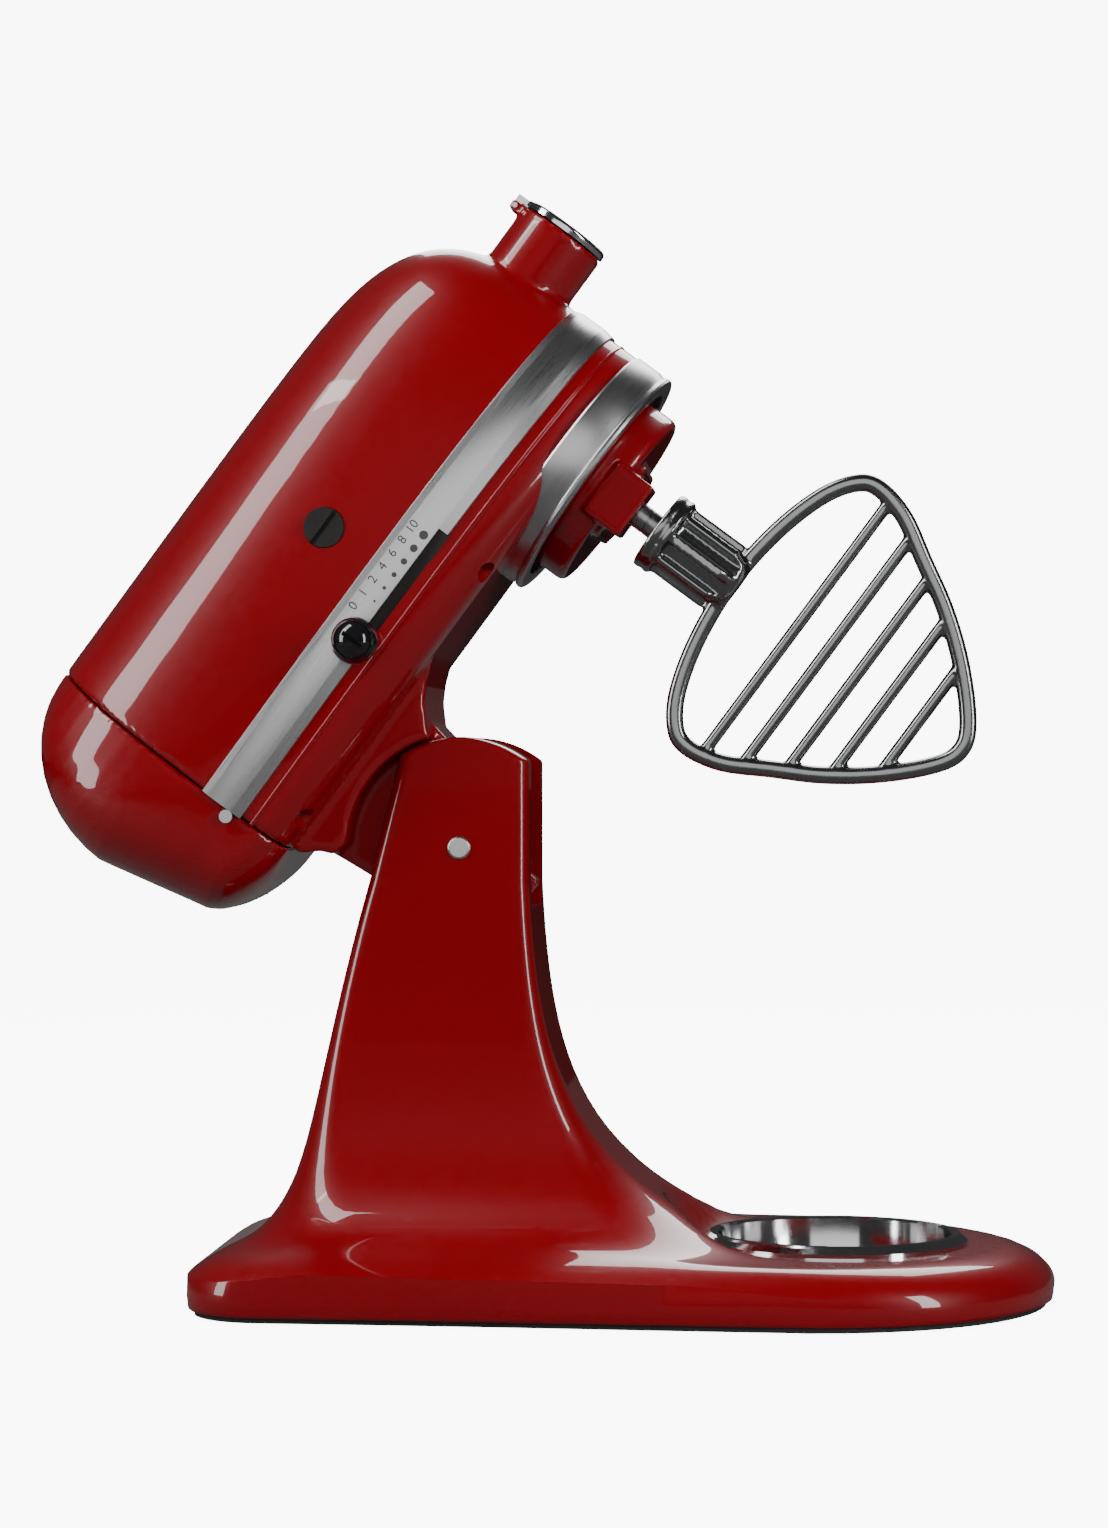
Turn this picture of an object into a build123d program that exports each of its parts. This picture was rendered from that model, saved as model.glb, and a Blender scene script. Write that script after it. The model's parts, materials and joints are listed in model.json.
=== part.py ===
"""Tilt-head stand mixer with its head tilted open.

The row frame has +X to the front of the mixer, +Z up and its origin on the table, under the
middle of the mixer's box. The head is drawn in its own frame, whose origin is the hinge: u runs
forward along the head, y across it and v up through it. Turning the head about the hinge by
`tilt` puts those planes where the open head stands. All lengths are millimetres.
"""

import os
from math import atan2, cos, degrees, exp, radians, sin, sqrt

from build123d import *

os.makedirs("parts", exist_ok=True)

# ---------------------------------------------------------------- driving dimensions
tilt = 53.4                 # the head's angle when open
hinge_x = -32.0             # the hinge, from the origin
hinge_z = 182.8
bowl_reach = 148.0          # from the hinge to the bowl's axis with the head closed
fit = 0.05                  # radial clearance of a running fit
gap = 0.4                   # clearance between pieces that pass each other

# pedestal
foot_height = 3.0
foot_radius = 11.0
foot_stud_radius = 4.0
foot_stud_length = 7.0
base_length = 341.0
base_nose_reach = 88.0      # from the bowl's axis to the nose
base_nose_radius = 95.0
base_rear_half_width = 88.0
base_corner_radius = 30.0
base_top = 24.0
base_edge_radius = 12.0
casting_wall = 5.0
boss_radius = 9.0

# column and ears
column_half_width = 38.0
column_front = 27.8         # from the hinge's axis to the front face, at the top
column_rear = 40.8
column_rear_slope = 0.204
ear_radius = 44.0
ear_front_height = 31.2     # top of the flat front face above the hinge
ear_foot = 32.8             # depth of the ears below the hinge
ear_gap = 48.0              # between the ears
slot_floor_depth = 24.0     # floor of the slot below the hinge
bolt_radius = 3.0
bolt_head_radius = 6.5
bolt_spacing_x = 100.0
bolt_spacing_y = 80.0
bolt_centre_x = -2.0        # centre of the bolt pattern from the hinge
column_boss_height = 26.0   # up to where the column's wall meets them

# bowl clamp
clamp_outer_radius = 53.3
clamp_rim_radius = 51.0
clamp_bore_radius = 46.5
clamp_wall = 3.0
clamp_rim_height = 4.2      # above the base
clamp_depth = 7.0           # below the base
clamp_floor = 2.0
clamp_slots = 3
clamp_slot_width = 14.0
clamp_screw_radius = 28.0     # of the circle that the plate's screws stand on

# hinge and head lock
hinge_pin_radius = 4.65
tongue_radius = 22.0
lock_depth = 27.0           # the lock bolt's axis below the hinge
lock_bolt_radius = 4.0
lock_travel = 12.0
lock_tooth_half = 8.0

# head outline
head_half_width = 62.0
head_top = 173.4
seam_u = -40.0              # joint between the housing and the end cover
side_v = 96.0               # the head's sides are upright up to here
belly_u = 40.0              # widest place
nose_u = 199.3
split_v = 84.0
case_floor_v = 53.3
shell_wall = 3.5
gasket_thickness = 0.8

# trim band and speed lever
band_low = 74.5
band_high = 93.0
band_thickness = 1.2
lever_v = 76.5
lever_u = 43.0
lever_slot_half = 2.3
lever_slot_end = 96.5
lever_travel = 40.0
lever_rod_radius = 1.6
knob_radius = 9.25
knob_y = -75.0

# attachment hub
hub_v = 117.0
hub_radius = 19.0
hub_bore_radius = 14.3
hub_end_u = 221.7
hub_cover_thickness = 3.3
hub_pin_radius = 1.1
knob_axis_u = 207.0

# motor
motor_v = 115.5
motor_shaft_radius = 4.0
stator_radius = 44.0
stator_bore = 27.6
stator_length = 54.0
stator_u = -6.0
armature_radius = 26.8
commutator_u = 70.6
commutator_radius = 15.0
bearing_radius = 9.5
bearing_length = 8.0
fan_radius = 40.0

# gear train
worm_starts = 3
worm_pitch = 4.0
worm_radius = 8.0
worm_length = 24.0
worm_teeth = 30
worm_wheel_face = 12.0
gear_module = 1.5
centre_teeth = 52
pinion_teeth = 13
centre_gear_face = 13.0
bevel_module = 1.75
bevel_teeth = 27
hub_teeth = 18
bevel_face = 8.0
bevel_step = 1.6            # keeps the hub gear's teeth off the spur gear's face

# planetary
skirt_radius = 51.35
skirt_low = 62.0
ring_teeth = 60
planet_teeth = 22
ring_low = 50.0
ring_high = 60.0
shaft_radius = 6.0
planetary_radius = 39.3
planetary_low = 30.0
planetary_high = 48.5
socket_side = 24.0
socket_low = 22.5
drip_low = 45.0
drip_outer = 51.6

# beater
beater_shaft_radius = 4.9
beater_shaft_low = -14.0
cross_pin_radius = 2.0
cross_pin_v = 8.6
collar_radius = 16.8
collar_high = 12.8
collar_low = 5.5
beater_tip = -139.0
beater_half_width = 67.0
beater_shoulder_v = -48.0
beater_frame = 7.0
beater_thickness = 9.0
beater_bars = 5
beater_bar_width = 5.0
first_bar_v = -54.8
bar_pitch = 15.2

# ---------------------------------------------------------------- derived places
bowl_x = hinge_x + bowl_reach
column_bolts_x = hinge_x + bolt_centre_x
wheel_bore = 5.0
pinion_shaft_low = skirt_low + 7.0
centre_distance = gear_module * (ring_teeth - planet_teeth) / 2
worm_wheel_radius = worm_teeth * worm_pitch / 6.2831853
pinion_distance = gear_module * (centre_teeth + pinion_teeth) / 2
wheel_y = worm_radius + worm_wheel_radius
wheel_u = bowl_reach - sqrt(pinion_distance**2 - wheel_y**2)
worm_start_u = wheel_u - worm_length / 2
worm_lead = worm_starts * worm_pitch
bevel_v = hub_v - bevel_module * hub_teeth / 2
centre_gear_v = bevel_v - bevel_step - centre_gear_face
hub_gear_u = bowl_reach + bevel_module * bevel_teeth / 2 + gap / 2

head_forward = Vector(cos(radians(tilt)), 0, sin(radians(tilt)))
head_up = Vector(-sin(radians(tilt)), 0, cos(radians(tilt)))
hinge = Vector(hinge_x, 0, hinge_z)


def head_point(u, y, v):
    """A point of the head, from its own frame to the row's."""
    return hinge + head_forward * u + Vector(0, y, 0) + head_up * v


def level(v, u=0.0, y=0.0):
    """Plane across the head's height: sketch x runs along u, sketch y along y."""
    return Plane(origin=head_point(u, y, v), x_dir=head_forward, z_dir=head_up)


def across(u, y=0.0, v=0.0):
    """Plane across the head's length: sketch x runs along y, sketch y along v."""
    return Plane(origin=head_point(u, y, v), x_dir=(0, 1, 0), z_dir=head_forward)


def beside(y, u=0.0, v=0.0):
    """Plane along the head's side: sketch x runs along u, sketch y along v, normal to -y."""
    return Plane(origin=head_point(u, y, v), x_dir=head_forward, z_dir=(0, -1, 0))


def rod(plane, radius, length, mode=Mode.ADD):
    """A round bar, or with Mode.SUBTRACT a round hole, along a plane's normal."""
    with BuildSketch(plane) as section:
        Circle(radius)
    extrude(section.sketch, amount=length, mode=mode)


def tube(plane, outer, inner, length):
    """A round tube along a plane's normal."""
    with BuildSketch(plane) as section:
        Circle(outer)
        Circle(inner, mode=Mode.SUBTRACT)
    extrude(section.sketch, amount=length)


def block(plane, size_x, size_y, length, mode=Mode.ADD):
    """A rectangular bar, centred on a plane, along its normal."""
    with BuildSketch(plane) as section:
        Rectangle(size_x, size_y)
    extrude(section.sketch, amount=length, mode=mode)


def save(piece, node):
    """Label a finished piece and write it under its node's name."""
    piece.part.label = node
    export_step(piece.part, f"parts/{node}.step")


# ---------------------------------------------------------------- pedestal
def base_plan(plane, inset):
    """Plan of the base: a round nose and two round rear corners, joined by straight sides."""
    rear_x = bowl_x + base_nose_reach - base_length
    corner = (rear_x + base_corner_radius, base_rear_half_width - base_corner_radius)
    with BuildSketch(plane) as plan:
        with Locations((bowl_x + base_nose_reach - base_nose_radius, 0)):
            Circle(base_nose_radius - inset)
        with Locations(corner, (corner[0], -corner[1])):
            Circle(base_corner_radius - inset)
        make_hull()
    return plan.sketch


def column_section(z, inset):
    """Section of the column at height z; it flares out towards the base."""
    rise = z - base_top
    front = hinge_x + column_front + 94.0 * exp(-rise / 36.0) - inset
    slope = column_rear_slope * (hinge_z - 13.8 - z)
    rear = hinge_x - column_rear - slope - 20.0 * exp(-rise / 14.0) + inset
    half_width = column_half_width + 42.0 * exp(-rise / 20.0) - inset
    corner = 5.0 + 40.0 * exp(-rise / 30.0)
    with BuildSketch(Plane.XY.offset(z)) as section:
        with Locations(((front + rear) / 2, 0)):
            RectangleRounded(front - rear, 2 * half_width, corner)
    return section.sketch


foot_places = [
    (bowl_x + 66.0, 0.0),
    (bowl_x - 10.0, 76.0),
    (bowl_x - 10.0, -76.0),
    (hinge_x - 78.0, 62.0),
    (hinge_x - 78.0, -62.0),
]
column_bolt_places = [
    (facing_x * bolt_spacing_x / 2, facing_y * bolt_spacing_y / 2)
    for facing_x in (-1, 1)
    for facing_y in (-1, 1)
]
clamp_screw_places = [
    (clamp_screw_radius * cos(radians(turn)), clamp_screw_radius * sin(radians(turn)))
    for turn in (0, 120, 240)
]
clamp_pocket_radius = clamp_bore_radius + clamp_wall
base_roof = base_top - casting_wall

with BuildPart() as base_casting:
    extrude(base_plan(Plane.XY.offset(foot_height), 0.0), amount=base_top - foot_height)
    fillet(base_casting.edges().group_by(Axis.Z)[-1], radius=base_edge_radius)
    extrude(
        base_plan(Plane.XY.offset(foot_height), casting_wall),
        amount=base_roof - foot_height,
        mode=Mode.SUBTRACT,
    )
    rod(Plane((bowl_x, 0, base_top - clamp_depth - 4.0)), clamp_pocket_radius + 4.0, clamp_depth + 4.0)
    rod(Plane((bowl_x, 0, base_top - clamp_depth)), clamp_pocket_radius, clamp_depth, Mode.SUBTRACT)
    with BuildSketch(Plane.XY.offset(foot_height)):
        with Locations(foot_places):
            Circle(boss_radius)
    extrude(amount=base_roof - foot_height)
    with BuildSketch(Plane.XY.offset(foot_height)):
        with Locations(foot_places):
            Circle(foot_stud_radius)
    extrude(amount=foot_stud_length, mode=Mode.SUBTRACT)
    with BuildSketch(Plane((column_bolts_x, 0, base_roof - 5.0))):
        with Locations(column_bolt_places):
            Circle(boss_radius)
    extrude(amount=5.0)
    with BuildSketch(Plane((column_bolts_x, 0, base_roof - 5.0))):
        with Locations(column_bolt_places):
            Circle(bolt_radius)
    extrude(amount=base_top - base_roof + 5.0, mode=Mode.SUBTRACT)
    with BuildSketch(Plane((bowl_x, 0, foot_height))):
        with Locations(clamp_screw_places):
            Circle(2.5)
    extrude(amount=base_top, mode=Mode.SUBTRACT)
save(base_casting, "base_casting")

with BuildPart() as rubber_feet:
    with BuildSketch():
        with Locations(foot_places):
            Circle(foot_radius)
    extrude(amount=foot_height)
    with BuildSketch(Plane.XY.offset(foot_height)):
        with Locations(foot_places):
            Circle(foot_stud_radius)
    extrude(amount=foot_stud_length)
save(rubber_feet, "rubber_feet")

ear_front_x = sqrt(ear_radius**2 - ear_front_height**2)
ear_rear_x = -sqrt(ear_radius**2 - 11.0**2)
slot_floor_z = hinge_z - slot_floor_depth
column_levels = [base_top, 30.0, 40.0, 52.0, 66.0, 84.0, 108.0, 136.0, hinge_z - 13.8]
lock_z = hinge_z - lock_depth
lock_plane = Plane(origin=(hinge_x, 0, lock_z), x_dir=(0, 1, 0), z_dir=(1, 0, 0))

with BuildPart() as column_casting:
    loft([column_section(z, 0.0) for z in column_levels])
    loft([column_section(z, casting_wall) for z in column_levels[:-2] + [128.0]], mode=Mode.SUBTRACT)
    with BuildSketch(Plane.XZ.offset(-column_half_width)):
        with BuildLine():
            front_foot = (hinge_x + column_front + 1.6, hinge_z - ear_foot)
            front_top = (hinge_x + ear_front_x, hinge_z + ear_front_height)
            rear_top = (hinge_x + ear_rear_x, hinge_z - 11.0)
            rear_foot = (hinge_x - column_rear - 3.9, hinge_z - ear_foot)
            Polyline(rear_foot, front_foot, (hinge_x + column_front, hinge_z - 13.8), front_top)
            ThreePointArc(front_top, (hinge_x, hinge_z + ear_radius), rear_top)
            Line(rear_top, rear_foot)
        make_face()
    extrude(amount=2 * column_half_width)
    block(Plane((hinge_x, 0, slot_floor_z)), 120.0, ear_gap, 90.0, Mode.SUBTRACT)
    rod(Plane((hinge_x, column_half_width, hinge_z), (1, 0, 0), (0, -1, 0)),
        hinge_pin_radius, 2 * column_half_width, Mode.SUBTRACT)
    # pit for the tooth of the tongue, the lock bolt's bore and the slot for its lever
    block(Plane((hinge_x + 12.0, 0, hinge_z - 36.0)), 42.0, 17.0, 14.0, Mode.SUBTRACT)
    rod(lock_plane.offset(-38.0), lock_bolt_radius + fit, 32.0, Mode.SUBTRACT)
    with BuildSketch(Plane((hinge_x - 22.0, 0, lock_z), (1, 0, 0), (0, -1, 0)).offset(-50.0)):
        SlotOverall(lock_travel + 6.0, 5.0)
    extrude(amount=50.0, mode=Mode.SUBTRACT)
    # the foot sweeps round the bowl clamp
    with BuildSketch(Plane((bowl_x, 0, base_top))):
        Circle(clamp_outer_radius + 1.0)
    extrude(amount=20.0, taper=-45.0, mode=Mode.SUBTRACT)
    # threaded hole of the hinge pin's set screw
    rod(Plane((hinge_x - 50.0, 31.0, hinge_z), (0, 1, 0), (1, 0, 0)), 2.5, 46.0, Mode.SUBTRACT)
    # bosses for the bolts from the base
    with BuildSketch(Plane((column_bolts_x, 0, base_top))):
        with Locations(column_bolt_places):
            Circle(boss_radius - 1.0)
    extrude(amount=column_boss_height)
    with BuildSketch(Plane((column_bolts_x, 0, base_top))):
        with Locations(column_bolt_places):
            Circle(bolt_radius)
    extrude(amount=15.0, mode=Mode.SUBTRACT)
save(column_casting, "column_casting")

with BuildPart() as column_bolts:
    with BuildSketch(Plane((column_bolts_x, 0, base_roof - 5.0))):
        with Locations(column_bolt_places):
            RegularPolygon(bolt_head_radius, 6)
    extrude(amount=-5.0)
    with BuildSketch(Plane((column_bolts_x, 0, base_roof - 5.0))):
        with Locations(column_bolt_places):
            Circle(bolt_radius)
    extrude(amount=24.0)
save(column_bolts, "column_bolts")

with BuildPart() as bowl_clamp_plate:
    low = base_top - clamp_depth
    top = base_top + clamp_rim_height
    with BuildSketch(Plane((bowl_x, 0, 0), (1, 0, 0), (0, -1, 0))):
        with BuildLine():
            Polyline(
                (0, low), (clamp_pocket_radius, low), (clamp_pocket_radius, base_top),
                (clamp_outer_radius, base_top), (clamp_outer_radius, base_top + 1.4),
                (clamp_rim_radius, top - 0.8), (clamp_rim_radius - 0.8, top),
                (clamp_bore_radius + 0.8, top), (clamp_bore_radius, top - 0.8),
                (clamp_bore_radius, low + clamp_floor), (0, low + clamp_floor), (0, low),
            )
        make_face()
    revolve(axis=Axis((bowl_x, 0, 0), (0, 0, 1)))
    # the bowl's lugs drop through these slots and turn under the rim
    with BuildSketch(Plane((bowl_x, 0, low + clamp_floor))):
        with PolarLocations(clamp_bore_radius, clamp_slots, start_angle=35.0):
            Rectangle(3.6, clamp_slot_width)
    extrude(amount=clamp_depth + clamp_rim_height, mode=Mode.SUBTRACT)
    with BuildSketch(Plane((bowl_x, 0, low))):
        with Locations(clamp_screw_places):
            Circle(4.6)
    extrude(amount=clamp_floor, mode=Mode.SUBTRACT)
save(bowl_clamp_plate, "bowl_clamp_plate")

with BuildPart() as clamp_plate_screws:
    with BuildSketch(Plane((bowl_x, 0, low - 6.0))):
        with Locations(clamp_screw_places):
            Circle(2.5)
    extrude(amount=6.0)
    with BuildSketch(Plane((bowl_x, 0, low))):
        with Locations(clamp_screw_places):
            Circle(4.6)
    extrude(amount=clamp_floor)
save(clamp_plate_screws, "clamp_plate_screws")

with BuildPart() as hinge_pin:
    pin_half = column_half_width + 1.2
    rod(Plane((hinge_x, pin_half, hinge_z), (1, 0, 0), (0, -1, 0)), hinge_pin_radius, 2 * pin_half)
    fillet(hinge_pin.edges().filter_by(GeomType.CIRCLE), radius=1.1)
save(hinge_pin, "hinge_pin")

with BuildPart() as hinge_pin_screw:
    rod(Plane((hinge_x - hinge_pin_radius - 12.0, 31.0, hinge_z), (0, 1, 0), (1, 0, 0)), 2.5, 12.0)
    block(Plane((hinge_x - hinge_pin_radius - 12.0, 31.0, hinge_z), (0, 1, 0), (1, 0, 0)),
          0.8, 4.0, 1.5, Mode.SUBTRACT)
save(hinge_pin_screw, "hinge_pin_screw")

lever_x = hinge_x - 28.0
with BuildPart() as lock_bolt:
    rod(lock_plane.offset(-36.0), lock_bolt_radius, 24.0)
    rod(Plane((lever_x, 0, lock_z), (1, 0, 0), (0, 1, 0)), 2.0, column_half_width + 8.0)
save(lock_bolt, "lock_bolt")

with BuildPart() as lock_knob:
    with BuildSketch(Plane((lever_x, column_half_width + gap, lock_z), (1, 0, 0), (0, 1, 0))):
        SlotOverall(24.0, 11.0)
    extrude(amount=10.0)
    fillet(lock_knob.faces().sort_by(Axis.Y)[-1].edges(), radius=2.5)
    rod(Plane((lever_x, column_half_width + gap, lock_z), (1, 0, 0), (0, 1, 0)),
        2.0, 8.0 - gap, Mode.SUBTRACT)
save(lock_knob, "lock_knob")


# ---------------------------------------------------------------- head castings
def bulge(share, power):
    """Height of a superellipse of the given power at a share of its half length."""
    return (1.0 - min(share, 1.0) ** power) ** (1.0 / power)


def dome_half_width(v):
    """The head's half width at height v: upright sides, then a rounded crown."""
    if v <= side_v:
        return head_half_width
    return head_half_width * bulge((v - side_v) / (head_top + 0.2 - side_v), 2.3)


def nose_front(v):
    """Where the head's front stands at height v."""
    if v <= side_v:
        return nose_u
    return 100.0 + (nose_u - 100.0) * bulge((v - side_v) / (head_top + 0.2 - side_v), 3.4)


def blunt_section(v, half_width, front, rear, power, inset=0.0):
    """Plan of the head at height v: a blunt front, nearly straight sides and a cut-off rear."""
    half = half_width - inset
    tip = front - inset
    side = [(rear, 0.95 * half), ((rear + belly_u) / 2, 0.985 * half), (belly_u, half)]
    for turn in (75, 60, 45, 30, 15):
        along = cos(radians(turn)) ** (2.0 / power)
        side.append((belly_u + (tip - belly_u) * along, half * sin(radians(turn)) ** (2.0 / power)))
    outline = side + [(tip, 0.0)] + [(u, -y) for u, y in reversed(side)]
    with BuildSketch(level(v)) as plan:
        with BuildLine():
            Spline(outline)
            Line(outline[-1], outline[0])
        make_face()
    return plan.sketch


def housing_section(v, inset=0.0):
    return blunt_section(v, dome_half_width(v), nose_front(v), seam_u, 2.5, inset)


def case_half_width(v):
    """The gear case's half width: its lower edge is rounded under."""
    depth = max(0.0, 70.0 - v) / (70.0 - case_floor_v)
    return 44.0 + (head_half_width - 0.6 - 44.0) * bulge(depth, 2.2)


def case_section(v, inset=0.0):
    return blunt_section(v, case_half_width(v), nose_u - 0.6, seam_u, 2.5, inset)


case_screw_places = [(-26.0, 50.0), (-26.0, -50.0), (94.0, 49.0), (94.0, -49.0)]
case_top = split_v - gasket_thickness / 2
tongue_half = ear_gap / 2 - gap
recess_radius = ear_radius + 1.0
dome_levels = [split_v + gasket_thickness / 2, 100.0, 112.0, 124.0, 136.0, 146.0, 155.0, 162.0, 168.0]

with BuildPart() as gear_case:
    case_levels = [case_floor_v, 56.0, 60.0, 65.0, 70.0, case_top]
    loft([case_section(v) for v in case_levels])
    cavity_levels = [57.0, 60.0, 65.0, 70.0, case_top]
    loft([case_section(v, shell_wall) for v in cavity_levels], mode=Mode.SUBTRACT)
    # skirt and floor over the planetary gears
    rod(level(skirt_low, bowl_reach), skirt_radius, 4.0)
    rod(level(case_floor_v - 1.0, bowl_reach), skirt_radius + gap, skirt_low - case_floor_v + 1.0,
        Mode.SUBTRACT)
    tube(level(skirt_low, bowl_reach), 13.0, shaft_radius + 3.0, 22.0)
    rod(level(skirt_low, bowl_reach), shaft_radius + 3.0, 10.0, Mode.SUBTRACT)
    rod(level(skirt_low + 3.0, wheel_u, wheel_y), wheel_bore + 4.0, 12.0)
    rod(level(pinion_shaft_low - 0.4, wheel_u, wheel_y), wheel_bore + fit, 12.0, Mode.SUBTRACT)
    # saddles under the stator
    for u in (stator_u + 6.0, stator_u + stator_length - 6.0):
        block(level(56.0, u), 6.0, 64.0, case_top - 56.0)
    rod(across(stator_u - 8.0, 0, motor_v), stator_radius, stator_length + 16.0, Mode.SUBTRACT)
    # neck: cheeks as wide as the column, with the tongue between the ears
    with BuildSketch(beside(column_half_width)):
        with BuildLine():
            Polyline((seam_u, 56.5), (60.0, 56.5), (55.0, 53.3), (46.0, 50.5), (39.0, 46.7),
                     (33.0, 41.0), (28.4, 35.2), (-32.3, 36.5), (-34.0, 43.4), (-38.0, 48.0),
                     (seam_u, 49.5), (seam_u, 56.5))
        make_face()
    extrude(amount=2 * column_half_width)
    rod(beside(column_half_width + 1.0), recess_radius, 2 * column_half_width + 2.0, Mode.SUBTRACT)
    with BuildSketch(beside(tongue_half)):
        Circle(tongue_radius)
        Polygon((-28.0, 44.0), (28.0, 44.0), (tongue_radius - 3.0, 0.0), (-tongue_radius + 3.0, 0.0),
                align=None)
        Polygon((-lock_tooth_half, 0), (lock_tooth_half, 0), (lock_tooth_half - 2.0, -32.0),
                (-lock_tooth_half + 2.0, -32.0), align=None)
    extrude(amount=2 * tongue_half)
    for side in (-1, 1):
        block(level(-40.0, 0, side * (8.0 + tongue_half) / 2), 40.0, tongue_half - 8.0 + 0.2, 17.8,
              Mode.SUBTRACT)
    rod(beside(tongue_half), hinge_pin_radius + fit, 2 * tongue_half, Mode.SUBTRACT)
    rod(across(-20.0, 0, -lock_depth), lock_bolt_radius + gap, 40.0, Mode.SUBTRACT)
    # speed lever's slot on the near side
    with BuildSketch(beside(-40.0, (lever_u + lever_slot_end) / 2 - 2.0, lever_v)):
        SlotOverall(lever_slot_end - lever_u + 4.0 + 2 * lever_slot_half, 2 * lever_slot_half)
    extrude(amount=30.0, mode=Mode.SUBTRACT)
    # screw bosses, with the screws' heads sunk from below
    for u, y in case_screw_places:
        rod(level(59.0, u, y), 6.0, case_top - 59.0)
        rod(level(50.0, u, y), 4.5, 12.0, Mode.SUBTRACT)
        rod(level(50.0, u, y), 2.0, 40.0, Mode.SUBTRACT)
    for u, y in case_screw_places:
        side = 1 if y > 0 else -1
        block(level(50.0, u, y + side * 15.0), 14.0, 18.0, 5.0, Mode.SUBTRACT)
save(gear_case, "gear_case")

with BuildPart() as case_gasket:
    extrude(blunt_section(case_top, head_half_width - 0.6, nose_u - 0.6, seam_u, 2.5),
            amount=gasket_thickness)
    extrude(blunt_section(case_top, head_half_width - 0.6, nose_u - 0.6, seam_u, 2.5, shell_wall - 0.6),
            amount=gasket_thickness, mode=Mode.SUBTRACT)
save(case_gasket, "case_gasket")

hub_ear_u = hub_end_u - 2.4
hub_pin_v = hub_v + hub_radius + 2.8
brush_v = motor_v

with BuildPart() as motor_housing:
    loft([housing_section(v) for v in dome_levels + [head_top]])
    loft([housing_section(v, shell_wall) for v in dome_levels + [head_top - shell_wall]],
         mode=Mode.SUBTRACT)
    rod(across(191.0, 0, hub_v), hub_radius, hub_end_u - 191.0)
    rod(across(180.0, 0, hub_v), hub_bore_radius, hub_end_u - 180.0, Mode.SUBTRACT)
    # flat boss for the attachment knob, and its threaded hole
    rod(Plane(head_point(knob_axis_u, 12.0, hub_v), head_forward, (0, 1, 0)), 8.0, 9.0)
    rod(across(180.0, 0, hub_v), hub_bore_radius, hub_end_u - 180.0, Mode.SUBTRACT)
    rod(Plane(head_point(knob_axis_u, 8.0, hub_v), head_forward, (0, 1, 0)), 4.0 + fit, 20.0,
        Mode.SUBTRACT)
    # ears of the hub cover's hinge
    for y in (-5.4, 5.4):
        block(level(hub_v + hub_radius - 4.0, hub_ear_u, y), 4.6, 3.0, hub_pin_v + 2.3 - hub_v - hub_radius + 4.0)
    rod(beside(8.0, hub_ear_u, hub_pin_v), hub_pin_radius, 16.0, Mode.SUBTRACT)
    # posts that hold the stator down
    for u in (stator_u + 6.0, stator_u + stator_length - 6.0):
        block(level(motor_v + 20.0, u), 6.0, 40.0, head_top - shell_wall - motor_v - 20.0)
    rod(across(stator_u - 8.0, 0, motor_v), stator_radius, stator_length + 16.0, Mode.SUBTRACT)
    # openings for the brush holders
    for facing in (-1, 1):
        rod(Plane(head_point(commutator_u, facing * 50.0, brush_v), head_forward, (0, facing, 0)),
            8.0, 20.0, Mode.SUBTRACT)
    for u, y in case_screw_places:
        facing = 1 if y > 0 else -1
        rod(level(split_v + gasket_thickness / 2, u, y), 5.0, 6.0)
        block(level(split_v + gasket_thickness / 2, u, y + facing * 5.0), 6.0, 9.0, 6.0)
        rod(level(split_v, u, y), 2.0, 14.0, Mode.SUBTRACT)
save(motor_housing, "motor_housing")


def cover_reach(v):
    """How far the end cover reaches behind its seam at height v."""
    if v >= 115.0:
        return 52.6 * bulge((v - 115.0) / (head_top + 0.2 - 115.0), 2.0)
    if v >= 72.0:
        return 52.6 - 0.235 * (115.0 - v)
    return 1.6 + 40.9 * bulge((72.0 - v) / 20.0, 2.0)


def cover_section(v, inset=0.0):
    """Plan of the end cover at height v: a boxy shape that closes to the rear."""
    full = dome_half_width(v) if v > split_v else case_half_width(max(v, case_floor_v))
    half = 0.95 * full - 1.2 - inset
    reach = cover_reach(v) - inset
    seam = seam_u - gap
    side = [(seam, half)]
    for turn in (70, 50, 35, 20):
        along = cos(radians(turn)) ** (2.0 / 3.2)
        side.append((seam - reach * along, half * sin(radians(turn)) ** (2.0 / 3.2)))
    outline = side + [(seam - reach, 0.0)] + [(u, -y) for u, y in reversed(side)]
    with BuildSketch(level(v)) as plan:
        with BuildLine():
            Spline(outline)
            Line(outline[-1], outline[0])
        make_face()
    return plan.sketch


cover_screw_v = 97.0
cover_boss_radius = 7.0
band_screw_u = seam_u - 3.2
band_screw_v = 79.5
gland_u = -62.0
gland_y = 28.0
cover_levels = [53.5, 56.0, 60.0, 66.0, 74.0, 90.0, 104.0, 118.0, 132.0, 145.0, 155.0, 163.0, 169.0, 172.6]

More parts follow.
